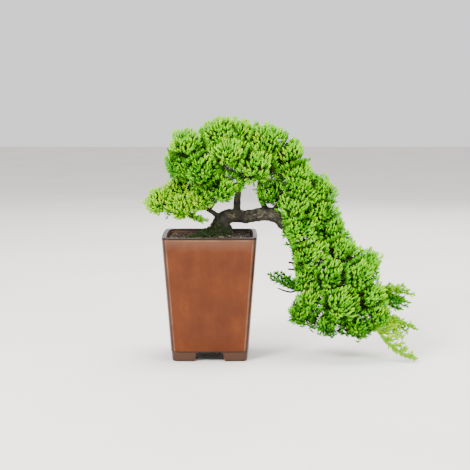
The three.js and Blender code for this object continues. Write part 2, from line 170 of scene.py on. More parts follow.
QUARTER = np.linspace(0, math.pi / 2, 5)
OUTSIDE_LEVELS = np.linspace(22, 214, 33)
INSIDE_LEVELS = np.linspace(212, FLOOR_TOP + FLOOR_FILLET, 12)
pot_rings = [round_ring(DRAIN_RADIUS, FLOOR_TOP - 1), round_ring(DRAIN_RADIUS, FOOT_HEIGHT + 1)]
pot_rings += [round_ring(DRAIN_RADIUS + 1, FOOT_HEIGHT), round_ring(DRAIN_RADIUS + 12, FOOT_HEIGHT)]
pot_rings += [pot_outside(FOOT_HEIGHT, 24), pot_outside(FOOT_HEIGHT, 2.2)]
pot_rings += [pot_outside(FOOT_HEIGHT + BASE_ROUND - BASE_ROUND * math.cos(a),
                          BASE_ROUND - BASE_ROUND * math.sin(a)) for a in QUARTER]
pot_rings += [pot_outside(z) for z in OUTSIDE_LEVELS]
pot_rings += [pot_outside(POT_HEIGHT - LIP_ROUND + LIP_ROUND * math.sin(a),
                          LIP_ROUND - LIP_ROUND * math.cos(a)) for a in QUARTER]
pot_rings += [pot_inside(POT_HEIGHT - LIP_ROUND + LIP_ROUND * math.cos(a),
                         -LIP_ROUND + LIP_ROUND * math.sin(a)) for a in QUARTER]
pot_rings += [pot_inside(z) for z in INSIDE_LEVELS]
pot_rings += [pot_inside(FLOOR_TOP + FLOOR_FILLET - FLOOR_FILLET * math.sin(a),
                         FLOOR_FILLET - FLOOR_FILLET * math.cos(a)) for a in QUARTER[1:]]
pot_rings += [pot_inside(FLOOR_TOP, 30), round_ring(DRAIN_RADIUS + 1, FLOOR_TOP)]
pot_points, pot_faces = loft(pot_rings, closed=True)


def foot_outline(z):
    """One corner foot's outline at height z: a block between the two gaps, its corners rounded."""
    low = max(0.0, FOOT_ROUND - z)
    inset = FOOT_STEP + FOOT_ROUND - math.sqrt(FOOT_ROUND ** 2 - low ** 2)
    half = pot_width(z) / 2 - inset - POT_BOW
    gap = (FOOT_GAP_BOTTOM + (FOOT_GAP_TOP - FOOT_GAP_BOTTOM) * (z + 1) / (FOOT_HEIGHT + 1)) / 2
    high = max(0.0, z - (FOOT_HEIGHT - FOOT_ROUND))
    gap -= FOOT_ROUND - math.sqrt(max(0.0, FOOT_ROUND ** 2 - high ** 2))
    gap += FOOT_ROUND * SOLE_FLARE * (low / FOOT_ROUND) ** 2
    middle = (half + gap) / 2
    outline = []
    for x, y, radius, start in [(half, gap, FOOT_EDGE, -90), (half, half, POT_CORNER - inset, 0),
                                (gap, half, FOOT_EDGE, 90), (gap, gap, FOOT_INNER_EDGE, 180)]:
        centre = (x - math.copysign(radius, x - middle), y - math.copysign(radius, y - middle))
        for step in range(6):
            angle = math.radians(start + 90 * step / 5)
            outline.append((centre[0] + radius * math.cos(angle), centre[1] + radius * math.sin(angle)))
    straight = half - POT_CORNER
    bowed = []
    for x, y in outline:
        outer_x = max(0.0, (x - gap) / (half - gap))
        outer_y = max(0.0, (y - gap) / (half - gap))
        bowed.append((x + POT_BOW * outer_x ** 4 * max(0.0, 1 - (y / straight) ** 2),
                      y + POT_BOW * outer_y ** 4 * max(0.0, 1 - (x / straight) ** 2), z))
    return np.array(bowed)


FOOT_LEVELS = [0, 0.15, 0.6, 1.3, 2.4, 4, 7, 10, 12, 13.4, 14.6, 15.4, 15.9, FOOT_HEIGHT]
foot_rings = [foot_outline(z) for z in FOOT_LEVELS]
sole_middle = foot_rings[0].mean(0)
foot_rings.insert(0, sole_middle + (foot_rings[0] - sole_middle) * [0.9, 0.9, 0])
feet_rings = []
for quarter in range(4):
    angle = quarter * math.pi / 2
    turn = np.array([[math.cos(angle), math.sin(angle), 0], [-math.sin(angle), math.cos(angle), 0], [0, 0, 1]])
    feet_rings.append(np.array(foot_rings) @ turn)
feet_points, feet_quads, feet_ends = lofts(feet_rings, len(pot_points))
pot_body = piece_from("pot_body", np.concatenate([pot_points, feet_points]) + POT_AXIS,
                      [pot_faces, feet_quads, feet_ends], smooth=True)
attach(pot_body, "root")
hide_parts("pot")


def linear(colour):
    """An sRGB hex colour as linear red, green, blue and alpha."""
    parts = [int(colour[i:i + 2], 16) / 255 for i in (1, 3, 5)]
    return [p / 12.92 if p <= 0.04045 else ((p + 0.055) / 1.055) ** 2.4 for p in parts] + [1.0]


def plug(material, node, inputs):
    """Sets a node's inputs from values, from outputs, or from nodes, which give their first output."""
    for name, value in inputs.items():
        if isinstance(value, bpy.types.Node):
            value = next(output for output in value.outputs if output.enabled)
        if isinstance(value, bpy.types.NodeSocket):
            material.node_tree.links.new(value, node.inputs[name])
        else:
            node.inputs[name].default_value = value


def add_node(material, kind, inputs=None, **settings):
    """Adds a node with its settings and links; stops are a colour ramp's."""
    node = material.node_tree.nodes.new("ShaderNode" + kind)
    for name, value in settings.items():
        if name != "stops":
            setattr(node, name, value)
            continue
        while len(node.color_ramp.elements) < len(value):
            node.color_ramp.elements.new(1.0)
        for element, (position, colour) in zip(node.color_ramp.elements, value):
            element.position = position
            element.color = linear(colour) if isinstance(colour, str) else (colour, colour, colour, 1)
    plug(material, node, inputs or {})
    return node


def new_finish(name):
    """A material and its surface shader."""
    material = bpy.data.materials.new(name)
    material.use_nodes = True
    shader = next(n for n in material.node_tree.nodes if n.type == "BSDF_PRINCIPLED")
    return material, shader


# Brown-orange iron glaze on stoneware, poured: a little redder and darker where it pools, with faint
# upright runs, and greyer on the feet where it is thin. Under the rim it is greyer too: thin glaze with a
# painted grey sheen. Along the pot's corners and under its rim run a pale line of painted highlight and a
# near-black line of painted dark reflection, and a near-black line of painted shade lies just above the feet.
# A satin coat lies over it.
RUN_WIDTH_MM = 9
CLOUD_MM = 38
SPECK_MM = 1.6
PEEL_MM = 4
glaze, shader = new_finish("poured_iron_glaze")
place = add_node(glaze, "TexCoord").outputs["Object"]
run_place = add_node(glaze, "Mapping", {"Vector": place, "Scale": (1, 1, 0.1)})
runs = add_node(glaze, "TexNoise", {
    "Vector": run_place, "Scale": 1 / (RUN_WIDTH_MM * MM), "Detail": 3.0, "Roughness": 0.55})
clouds = add_node(glaze, "TexNoise", {
    "Vector": place, "Scale": 1 / (CLOUD_MM * MM), "Detail": 6.0, "Roughness": 0.6})
mixed = add_node(glaze, "Math", {0: runs, 1: 0.22}, operation="MULTIPLY")
mixed = add_node(glaze, "Math", {0: clouds, 1: 0.78, 2: mixed}, operation="MULTIPLY_ADD")
glazed = add_node(glaze, "ValToRGB", {"Fac": mixed},
                  stops=[(0.36, "#4a1d02"), (0.48, "#502203"), (0.56, "#552504"), (0.7, "#5f2c07")])
specks = add_node(glaze, "TexNoise", {"Vector": place, "Scale": 1 / (SPECK_MM * MM), "Detail": 2.0})
speck_share = add_node(glaze, "ValToRGB", {"Fac": specks}, stops=[(0.66, 0.0), (0.74, 0.4)])
height_up = add_node(glaze, "SeparateXYZ", {"Vector": place}).outputs["Z"]
wobble = add_node(glaze, "Math", {0: clouds, 1: 10 * MM, 2: height_up}, operation="MULTIPLY_ADD")
# How far a point is from the sharp corner that the pot would have without its rounding: along x and y
# together, less twice the half width at its height.
axis_place = add_node(glaze, "VectorMath", {0: place, 1: tuple(-POT_AXIS * MM)}, operation="ADD")
axis_place = add_node(glaze, "VectorMath", {0: axis_place}, operation="ABSOLUTE")
axis_place = add_node(glaze, "SeparateXYZ", {"Vector": axis_place})
both_ways = add_node(glaze, "Math", {0: axis_place.outputs["X"], 1: axis_place.outputs["Y"]}, operation="ADD")
FLARE = (POT_TOP_WIDTH - POT_BASE_WIDTH) / (POT_HEIGHT - FOOT_HEIGHT)
SHARP_BASE = POT_BASE_WIDTH - 2 * POT_BOW - FOOT_HEIGHT * FLARE
widening = add_node(glaze, "Math", {0: height_up, 1: -FLARE, 2: -SHARP_BASE * MM}, operation="MULTIPLY_ADD")
arris = add_node(glaze, "Math", {0: both_ways, 1: widening}, operation="ADD")
wavering = add_node(glaze, "Math", {0: runs, 1: 0.5 * MM, 2: arris}, operation="MULTIPLY_ADD")
# Each band of other glaze or of painted light and shade: what it is measured by, where it starts and where
# it is full in millimetres, and how much it covers.
BANDS = {
    # Thin glaze under the rim, with a painted grey sheen.
    "thin_glaze_and_sheen": (wobble, 200, 218, 0.5),
    # Painted highlight and painted dark reflection: a pale line and a near-black one on the corners and under
    # the rim.
    "painted_highlight_edge": (wavering, -8.9, -7.9, 0.26),
    "painted_highlight_top": (height_up, 214.4, 214.9, 0.32),
    "painted_dark_edge": (wavering, -7.6, -6.8, 0.9),
    "painted_dark_top": (height_up, 216.2, 216.7, 1.0),
    # Painted shade in the step just above the feet.
    "painted_step_shade": (height_up, FOOT_HEIGHT + 1.9, FOOT_HEIGHT + 1.2, 1.0),
    "rim": (height_up, 219.5, 219.85, 1.0),
    "feet": (height_up, FOOT_HEIGHT + 1, FOOT_HEIGHT + 0.4, 0.9),
}
shares = {}
for band, (measure, start, full, most) in BANDS.items():
    shares[band] = add_node(glaze, "MapRange", {
        "Value": measure, "From Min": start * MM, "From Max": full * MM, "To Max": most})
# Painted highlight lines, unevenly strong.
painted_highlight_share = add_node(glaze, "Math", {0: shares["painted_highlight_edge"], 1: shares["painted_highlight_top"]}, operation="MAXIMUM")
uneven = add_node(glaze, "MapRange", {
    "Value": clouds, "From Min": 0.4, "From Max": 0.62, "To Min": 0.25, "To Max": 1.1})
painted_highlight_share = add_node(glaze, "Math", {0: painted_highlight_share, 1: uneven}, operation="MULTIPLY")
# Painted dark reflection lines, and the painted shade just above the feet.
painted_dark_share = add_node(glaze, "Math", {0: shares["painted_dark_edge"], 1: shares["painted_dark_top"]}, operation="MAXIMUM")
painted_dark_share = add_node(glaze, "Math", {0: painted_dark_share, 1: shares["painted_step_shade"]}, operation="MAXIMUM")
# Tints over the glaze: specks, thin glaze with painted sheen, painted highlight, painted dark reflection and
# shade, rim, feet.
for share, tint in [(speck_share, "#2c150a"), (shares["thin_glaze_and_sheen"], "#614634"), (painted_highlight_share, "#9c7660"),
                    (painted_dark_share, "#24160e"), (shares["rim"], "#2c2019"), (shares["feet"], "#432c1f")]:
    glazed = add_node(glaze, "Mix", {"Factor": share, "A": glazed, "B": linear(tint)}, data_type="RGBA")
rough = add_node(glaze, "MapRange", {"Value": clouds, "To Min": 0.36, "To Max": 0.5})
orange_peel = add_node(glaze, "TexNoise", {"Vector": place, "Scale": 1 / (PEEL_MM * MM), "Detail": 2.0})
bump = add_node(glaze, "Bump", {"Height": orange_peel, "Strength": 0.2, "Distance": 0.3 * MM})
plug(glaze, shader, {"Base Color": glazed, "Roughness": rough, "Normal": bump, "IOR": 1.5,
                     "Specular IOR Level": 0.05, "Coat Weight": 0.3, "Coat Roughness": 0.1})
pot_body.data.materials.append(glaze)


# Drain mesh: a square of moulded black plastic net, laid loose over the drain hole to keep the soil in.
# Polyethylene, injection moulded, satin.
drain_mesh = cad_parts["drain_mesh"]
net_plastic, shader = new_finish("moulded_black_polyethylene")
place = add_node(net_plastic, "TexCoord").outputs["Object"]
grime = add_node(net_plastic, "TexNoise", {"Vector": place, "Scale": 1 / (3 * MM), "Detail": 3.0})
net_colour = add_node(net_plastic, "ValToRGB", {"Fac": grime}, stops=[(0.4, "#151515"), (0.7, "#2c2824")])
net_rough = add_node(net_plastic, "MapRange", {"Value": grime, "To Min": 0.4, "To Max": 0.75})
plug(net_plastic, shader, {"Base Color": net_colour, "Roughness": net_rough})
drain_mesh.data.materials.clear()
drain_mesh.data.materials.append(net_plastic)


# Soil: baked clay and lava grains of 2 to 4 mm, poured round the roots and watered in. It fills the
# pot to 8 mm under the rim, and stands a little higher round the foot of the trunk.
SOIL_TOP = 212
MOUND_HEIGHT = 9
SOIL_BOTTOM = 28.2
SEAT = 0.4
GRAIN_PITCH = 2.9
GRAIN_SHIFT = 1.3
GRAINS_SUNK = 0.9
GRAIN_SIZES = [0.9, 1.2, 1.5, 1.9, 2.3]
GRAIN_SHARES = [0.2, 0.28, 0.26, 0.18, 0.08]
MOUND_SPREAD = 22.0
BED_RINGS = 46
TRUNK_FOOT = np.array([18.0, 2.0])


def soil_height(x, y):
    """The soil's height round the pot's axis, in millimetres."""
    away = np.hypot(x - TRUNK_FOOT[0], y - TRUNK_FOOT[1])
    waves = 1.1 * np.sin(x / 9.0 + 1.3) * np.sin(y / 11.0) + 0.6 * np.sin(x / 4.1) * np.sin(y / 3.7 + 0.8)
    return SOIL_TOP + MOUND_HEIGHT * np.exp(-((away / MOUND_SPREAD) ** 2) / 2) + waves


soil_rings = [pot_inside(SOIL_BOTTOM, SEAT + FLOOR_FILLET), pot_inside(SOIL_BOTTOM + FLOOR_FILLET, SEAT),
              pot_inside(120, SEAT), pot_inside(200, SEAT), pot_inside(208, SEAT)]
for share in np.linspace(0.985, 0.02, BED_RINGS):
    ring = pot_inside(SOIL_TOP, SEAT) * [share, share, 1]
    ring[:, 2] = soil_height(ring[:, 0], ring[:, 1]) - GRAINS_SUNK
    soil_rings.append(ring)
bed_points, bed_quads, bed_ends = lofts([soil_rings])

draw = np.random.default_rng(11)
golden = (1 + math.sqrt(5)) / 2
pebble = np.array([(-1, golden, 0), (1, golden, 0), (-1, -golden, 0), (1, -golden, 0), (0, -1, golden),
                   (0, 1, golden), (0, -1, -golden), (0, 1, -golden), (golden, 0, -1), (golden, 0, 1),
                   (-golden, 0, -1), (-golden, 0, 1)]) / math.hypot(1, golden)
pebble_faces = np.array([(0, 11, 5), (0, 5, 1), (0, 1, 7), (0, 7, 10), (0, 10, 11), (1, 5, 9), (5, 11, 4),
                         (11, 10, 2), (10, 7, 6), (7, 1, 8), (3, 9, 4), (3, 4, 2), (3, 2, 6), (3, 6, 8),
                         (3, 8, 9), (4, 9, 5), (2, 4, 11), (6, 2, 10), (8, 6, 7), (9, 8, 1)])


def unit(v):
    """Vectors brought to length one."""
    return v / np.maximum(np.linalg.norm(v, axis=-1, keepdims=True), 1e-9)


def copies(faces, count, size, first=0):
    """The same triangles for each of count small things of size points."""
    return (np.array(faces)[None] + (first + size * np.arange(count))[:, None, None]).reshape(-1, 3)


def turns(count, draw):
    """So many random rotations, as matrices."""
    w, x, y, z = unit(draw.normal(size=(count, 4))).T
    return np.stack([1 - 2 * (y * y + z * z), 2 * (x * y - z * w), 2 * (x * z + y * w),
                     2 * (x * y + z * w), 1 - 2 * (x * x + z * z), 2 * (y * z - x * w),
                     2 * (x * z - y * w), 2 * (y * z + x * w), 1 - 2 * (x * x + y * y)], 1).reshape(-1, 3, 3)


half_bed = (pot_width(SOIL_TOP) - 2 * POT_WALL) / 2 - SEAT
steps = np.arange(-half_bed, half_bed, GRAIN_PITCH)
gx, gy = np.meshgrid(steps, steps)
gx = gx.ravel() + draw.uniform(-GRAIN_SHIFT, GRAIN_SHIFT, gx.size)
gy = gy.ravel() + draw.uniform(-GRAIN_SHIFT, GRAIN_SHIFT, gy.size)
grain_size = draw.choice(GRAIN_SIZES, gx.size, p=GRAIN_SHARES)
corner_x = np.maximum(0, np.abs(gx) - (half_bed - POT_BOW - POT_CORNER))
corner_y = np.maximum(0, np.abs(gy) - (half_bed - POT_BOW - POT_CORNER))
inside = np.hypot(corner_x, corner_y) < POT_CORNER - grain_size
gx, gy, grain_size = gx[inside], gy[inside], grain_size[inside]
grain_up = soil_height(gx, gy) - GRAINS_SUNK + grain_size * draw.uniform(0.1, 0.6, len(gx))
grain_middle = np.stack([gx, gy, grain_up], 1)
stretch = draw.uniform(0.7, 1.15, (len(gx), 1, 3))
lumpy = pebble[None] * draw.uniform(0.82, 1.15, (len(gx), 12, 1)) * stretch * grain_size[:, None, None]
grains = np.einsum("nij,nkj->nki", turns(len(gx), draw), lumpy) + grain_middle[:, None]
grain_faces = copies(pebble_faces, len(gx), 12, len(bed_points))
shade = draw.uniform(0.05, 1, len(gx))
bed_uv = np.stack([draw.uniform(0, 0.04, len(bed_points)), draw.uniform(0, 0.25, len(bed_points))], 1)
grain_uv = np.stack([np.repeat(shade, 12), np.clip((grains[:, :, 2] - grain_middle[:, None, 2]).ravel()
                                                   / np.repeat(grain_size, 12) * 0.5 + 0.5, 0, 1)], 1)
soil_bed = piece_from("soil_bed", np.concatenate([bed_points, grains.reshape(-1, 3)]) + POT_AXIS,
                      [bed_quads, bed_ends, grain_faces], uv=np.concatenate([bed_uv, grain_uv]))
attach(soil_bed, "root")
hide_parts("soil")

# Damp baked-clay grit, crushed and sieved: each grain has its own brown, a few are rusty or pale, and each
# is darker towards its underside, near black at the bottom, as is the bed under the grains. Dull all over.
grit, shader = new_finish("damp_clay_grit")
grain_shade = add_node(grit, "SeparateXYZ", {"Vector": add_node(grit, "UVMap", uv_map="OFBake")})
grain_colour = add_node(grit, "ValToRGB", {"Fac": grain_shade.outputs["X"]},
                        stops=[(0.0, "#0e0c09"), (0.1, "#1f1a12"), (0.45, "#2d2419"), (0.7, "#40311f"),
                               (0.88, "#553a26"), (0.96, "#736046")])
# Darker towards each grain's underside, and on the bed under the grains.
darker_below = add_node(grit, "MapRange", {
    "Value": grain_shade.outputs["Y"], "From Min": 0.1, "From Max": 0.8, "To Min": 0.25, "To Max": 1.0})
grit_colour_darker_below = add_node(grit, "Mix", {"Factor": darker_below, "A": linear("#0d0906"), "B": grain_colour}, data_type="RGBA")
plug(grit, shader, {"Base Color": grit_colour_darker_below, "Roughness": 0.82})
soil_bed.data.materials.append(grit)


# Wood: the juniper's own roots, trunk, limbs and twigs, grown as one piece. The trunk rises from the
# mound, bends sharply, arches over the pot's rim and hangs down; a leader and limbs carry the crown.
# Each row is a place round the pot's axis and a radius there, in millimetres.
LINE_PITCH = 3.0
LIMB_SIDES = 14
TWIG_SIDES = 6
TRUNK = [(18, 2, 196, 25), (19, 0, 214, 24), (20, 0, 228, 20), (21, 0, 240, 16), (30, 0, 250, 13),
         (46, 0, 251, 12), (62, 0, 250, 11.5), (82, -1, 252, 12), (104, -3, 255, 12.5), (123, -5, 247, 11.5),
         (139, -7, 228, 10), (150, -9, 203, 8.5), (156, -11, 180, 7.5), (161, -13, 156, 6.8),
         (170, -15, 132, 6), (188, -18, 108, 5.2), (216, -25, 86, 4.4), (250, -34, 68, 3.6), (285, -42, 60, 3)]
LIMBS = {
    "leader": [(48, 0, 250, 8), (49, 0, 282, 6.2), (52, 3, 312, 5.2), (46, 6, 342, 4.2), (32, 4, 372, 3.2),
               (26, 2, 392, 2.4)],
    "leader_left": [(50, 2, 300, 4), (28, 2, 318, 3.4), (-4, 2, 338, 2.8), (-34, 4, 352, 2.2)],
    "right": [(104, -3, 256, 6), (92, 3, 280, 5), (88, 6, 308, 4.2), (100, 6, 344, 3.2), (102, 2, 374, 2.4)],
    "far_right": [(108, -3, 254, 5), (126, 0, 278, 4.2), (146, 2, 312, 3.4), (150, 2, 344, 2.4)],
    "left": [(19, -2, 246, 6), (4, -6, 259, 4.4), (-20, -10, 270, 3.4), (-50, -12, 277, 2.8),
             (-82, -12, 276, 2.2)],
    "shoulder": [(139, -7, 228, 4.6), (160, -6, 248, 4), (184, -8, 272, 3.2), (198, -8, 296, 2.4)],
    "middle": [(152, -10, 196, 4.2), (180, -12, 202, 3.6), (212, -14, 214, 2.8), (232, -14, 222, 2.2)],
    "outer": [(160, -12, 163, 4), (198, -16, 162, 3.4), (244, -18, 158, 2.8), (282, -14, 160, 2.2)],
    "lower": [(170, -15, 132, 3.6), (206, -26, 118, 3), (250, -30, 108, 2.6), (282, -34, 104, 2)],
}
ROOTS = [
    [(14, -4, 214, 11), (-6, -9, 214, 8), (-24, -15, 208, 5), (-36, -20, 200, 3)],
    [(18, -6, 210, 10), (14, -26, 209, 7), (6, -42, 203, 4), (2, -50, 198, 2.5)],
    [(26, -2, 208, 9), (44, -10, 206, 6), (58, -18, 199, 3)],
    [(20, 8, 210, 10), (24, 28, 207, 6.5), (30, 44, 198, 3.5)],
]
# Each bunch of foliage: its middle and how far it reaches from there, round the pot's axis.
BUNCHES = {
    "crown_front": [(-39, -44, 381, 33), (-52, -34, 348, 29), (-14, -52, 340, 31), (20, -22, 399, 34),
                    (34, -54, 366, 31), (20, -46, 304, 29), (81, -50, 344, 34), (101, -22, 387, 34),
                    (140, -26, 364, 31), (153, -34, 328, 30)],
    "crown_middle": [(-12, -6, 306, 25), (57, -8, 395, 30), (110, -18, 294, 28)],
    "crown_back": [(-44, 34, 352, 34), (10, 38, 380, 35), (62, 46, 370, 34), (114, 42, 350, 35),
                   (156, 34, 318, 33), (4, 44, 326, 31)],
    "left": [(-91, -22, 280, 27), (-54, -6, 301, 25), (-52, -36, 271, 25), (-17, -38, 284, 23),
             (-60, 24, 284, 29)],
    "shoulder": [(164, -34, 302, 29), (195, -12, 298, 30), (150, -46, 268, 29), (196, -26, 262, 31),
                 (186, 34, 280, 33)],
    "cascade_front": [(160, -50, 233, 31), (215, -18, 228, 30), (176, -52, 189, 31), (234, -38, 192, 32),
                      (170, -42, 149, 26), (216, -58, 149, 31), (262, -50, 152, 31), (281, -20, 169, 28),
                      (178, -52, 111, 28), (228, -68, 105, 30), (282, -54, 118, 31), (164, -38, 82, 26),
                      (207, -56, 68, 28), (258, -58, 62, 27), (299, -54, 82, 27)],
    "cascade_back": [(198, 34, 230, 33), (228, 26, 182, 33), (206, 14, 130, 32), (262, 14, 124, 32),
                     (240, -4, 82, 29)],
}
# The line of each trailing shoot.
TRAILS = {
    "tail_low": [(290, -56, 60), (303, -58, 46), (313, -61, 34), (322, -64, 24.5), (334, -67, 15.5),
                 (348, -71, 9.5), (362, -75, 6)],
    "tail_middle": [(320, -52, 74), (336, -50, 66), (352, -52, 60), (367, -54, 55)],
    "tail_upper": [(306, -24, 118), (324, -24, 118), (344, -26, 116.5), (364, -28, 114)],
    "tail_under": [(308, -30, 105), (322, -30, 103), (338, -32, 97), (356, -34, 92)],
    "inner_sprig": [(150, -28, 125), (136, -32, 132), (120, -37, 143), (103, -42, 153)],
    "left_sprig": [(-34, -32, 256), (-26, -34, 252), (-14, -36, 249), (-3, -38, 246)],
}


def smooth_line(rows, spacing):
    """A smooth line through rows of place and radius, with a sample about every spacing millimetres."""
    rows = np.asarray(rows, float)
    padded = np.vstack([2 * rows[0] - rows[1], rows, 2 * rows[-1] - rows[-2]])
    padded[[0, -1], 3:] = rows[[0, -1], 3:]
    samples = []
    for i in range(1, len(padded) - 2):
        a, b, c, d = padded[i - 1:i + 3]
        count = max(2, int(np.linalg.norm((c - b)[:3]) / spacing))
        t = np.linspace(0, 1, count, endpoint=False)[:, None]
        samples.append(0.5 * (2 * b + (c - a) * t + (2 * a - 5 * b + 4 * c - d) * t ** 2
                              + (3 * b - a - 3 * c + d) * t ** 3))
    samples.append(rows[-1:])
    return np.vstack(samples)


def carried_frames(places):
    """Directions along a line, with two across it that turn as little as they can."""
    ahead = unit(np.gradient(places, axis=0))
    across = np.cross(ahead[0], (0, 0, 1) if abs(ahead[0][2]) < 0.8 else (1, 0, 0))
    first = []
    for direction in ahead:
        across = unit(across - direction * across.dot(direction))
        first.append(across)
    first = np.array(first)
    return ahead, first, np.cross(ahead, first)


def turned(across, up, angles):
    """Directions at angles from one direction to another that is square to it."""
    return across * np.cos(angles)[..., None] + up * np.sin(angles)[..., None]


def tubes(lines, sides, first=0):
    """Points, quads and end faces of a tube along each line of places and radii."""
    angles = np.arange(sides) / sides * 2 * math.pi
    stacks = []
    for line in lines:
        _, across, up = carried_frames(line[:, :3])
        stacks.append(line[:, None, :3] + line[:, None, 3:4] * turned(across[:, None], up[:, None], angles))
    return lofts(stacks, first)


limb_lines = [smooth_line(rows, LINE_PITCH) for rows in [TRUNK, *LIMBS.values(), *ROOTS]]
limb_points, limb_quads, limb_ends = tubes(limb_lines, LIMB_SIDES)
trunk_and_limbs = piece_from("trunk_and_limbs", limb_points + POT_AXIS, [limb_quads, limb_ends])


def vectors_of(rows, kind="co"):
    """The vector that each of a mesh's rows holds."""
    values = np.empty(len(rows) * 3)
    rows.foreach_get(kind, values)
    return values.reshape(-1, 3)


# The tubes grow together into one skin, which is softened where limbs meet.
BARK_VOXEL = 1.2
remesh = trunk_and_limbs.modifiers.new("grown_together", "REMESH")
remesh.mode = "VOXEL"
remesh.voxel_size = BARK_VOXEL * MM
depsgraph = bpy.context.evaluated_depsgraph_get()
skin = trunk_and_limbs.evaluated_get(depsgraph).to_mesh()
skin_points = vectors_of(skin.vertices) / MM - POT_AXIS
skin_quads = np.array([list(p.vertices) for p in skin.polygons if len(p.vertices) == 4])
skin_tris = np.array([list(p.vertices) for p in skin.polygons if len(p.vertices) == 3]).reshape(-1, 3)
trunk_and_limbs.evaluated_get(depsgraph).to_mesh_clear()
bpy.data.meshes.remove(trunk_and_limbs.data)


def smoothed(points, quads, times):
    """Points moved towards the middle of their neighbours, to soften where limbs meet."""
    edges = np.concatenate([quads[:, [i, (i + 1) % 4]] for i in range(4)])
    for _ in range(times):
        total = np.zeros_like(points)
        count = np.zeros(len(points))
        for a, b in ((0, 1), (1, 0)):
            np.add.at(total, edges[:, a], points[edges[:, b]])
            np.add.at(count, edges[:, a], 1)
        points = points * 0.5 + 0.5 * total / np.maximum(count, 1)[:, None]
    return points


skin_points = smoothed(skin_points, skin_quads, 3)

# Every twig runs from the nearest limb to the middle of its bunch.
limb_samples = np.vstack(limb_lines[:1 + len(LIMBS)])
bunch_rows = [(f"{group}_{i + 1:02d}", np.array(row[:3], float), float(row[3]))
              for group, rows in BUNCHES.items() for i, row in enumerate(rows)]
draw = np.random.default_rng(5)
twig_lines = []
for name, middle, reach in bunch_rows:
    away = np.linalg.norm(limb_samples[:, :3] - middle, axis=1) + 0.25 * (limb_samples[:, 2] - middle[2])
    root = limb_samples[np.argmin(away)]
    between = (root[:3] * 0.55 + middle * 0.45) + draw.uniform(-2.5, 2.5, 3) - [0, 0, 3]
    root_radius = min(root[3] * 0.7, 2.2)
    twig_lines.append(smooth_line([(*root[:3], root_radius), (*between, 1.6), (*middle, 1.0)], LINE_PITCH))
for name, rows in TRAILS.items():
    foot = np.array(rows[0], float)
    away = np.linalg.norm(limb_samples[:, :3] - foot, axis=1)
    root = limb_samples[np.argmin(away)]
    between = root[:3] * 0.5 + foot * 0.5 + draw.uniform(-2, 2, 3) + [0, 0, 2]
    twig_lines.append(smooth_line([(*root[:3], 1.7), (*between, 1.3), (*foot, 0.9)], LINE_PITCH))

# Stubs of dead twigs on the inner side of the hanging trunk.
DEAD_TWIGS = [
    [(159, -12, 167, 2.4), (150, -13, 168, 2.1), (140, -14, 169, 1.7)],
    [(161, -13, 156, 2.4), (151, -14, 156, 2.0), (139, -14, 157, 1.6)],
    [(168, -15, 136, 2.2), (151, -16, 118, 2.0), (138, -16, 117, 1.8), (121, -18, 123, 1.2)],
    [(152, -20, 122, 1.9), (143, -25, 134, 1.6), (141, -26, 147, 1.2)],
]
twig_lines += [smooth_line(rows, LINE_PITCH) for rows in DEAD_TWIGS]

# Bark: thin grey-brown flakes that split lengthwise. Its relief follows each limb's own direction, and
# the flakes are cells with cracks between them, wider on thick limbs and several times as long.
THICK_LIMB = 9
FLAKE_WIDTHS = (2.0, 1.6)
FLAKE_LENGTH = 5.5
RELIEF_DEPTH = 1.9
LUMP_DEPTH = 2.4
samples, sample_frames, sample_run = [], [], []
for line in [*limb_lines, *twig_lines]:
    ahead, across, up = carried_frames(line[:, :3])
    run = np.concatenate([[0], np.cumsum(np.linalg.norm(np.diff(line[:, :3], axis=0), axis=1))])
    samples.append(line)
    sample_frames.append(np.stack([across, up, ahead], 1))
    sample_run.append(run + 1000 * len(samples))
samples = np.vstack(samples)
sample_frames = np.vstack(sample_frames)
sample_run = np.concatenate(sample_run)
tree = kdtree.KDTree(len(samples))
for i, sample in enumerate(samples):
    tree.insert(sample[:3], i)
tree.balance()


def grain_of(points):
    """Where points lie on their limb: across it twice, along it, its radius, and the way out."""
    nearest = np.array([tree.find(p)[1] for p in points])
    offset = points - samples[nearest, :3]
    local = np.einsum("nij,nj->ni", sample_frames[nearest], offset)
    radius = samples[nearest, 3]
    flat = np.hypot(local[:, 0], local[:, 1])
    out = (sample_frames[nearest, 0] * local[:, :1] + sample_frames[nearest, 1] * local[:, 1:2]) / np.maximum(
        flat, 0.05)[:, None]
    local[:, 2] += sample_run[nearest]
    local[:, :2] *= (radius / np.maximum(flat, 0.05))[:, None]
    return local, radius, out


grain, limb_radius, outward = grain_of(skin_points)
relief = np.zeros(len(skin_points))
lumps = np.zeros(len(skin_points))
for i, (p, r) in enumerate(zip(grain, limb_radius)):
    width = FLAKE_WIDTHS[0] if r > THICK_LIMB else FLAKE_WIDTHS[1]
    wander = noise.noise(Vector((p[0] / 9, p[1] / 9, p[2] / 24))) * 1.2
    flake = Vector((p[0] / width + wander, p[1] / width + wander, p[2] / (width * FLAKE_LENGTH)))
    cell = noise.voronoi(flake)[0]
    crack = min(1.0, (cell[1] - cell[0]) * 2.2)
    fine = noise.noise(Vector((p[0] / 0.9, p[1] / 0.9, p[2] / 7)))
    relief[i] = crack * 0.75 + 0.25 * fine
    lumps[i] = noise.fractal(Vector((p[0] / 11, p[1] / 11, p[2] / 20)), 1.0, 2.0, 3)
depth = np.clip(limb_radius / 14, 0.12, 1.0)
skin_points = skin_points + outward * (depth * ((relief - 0.55) * RELIEF_DEPTH + lumps * LUMP_DEPTH))[:, None]

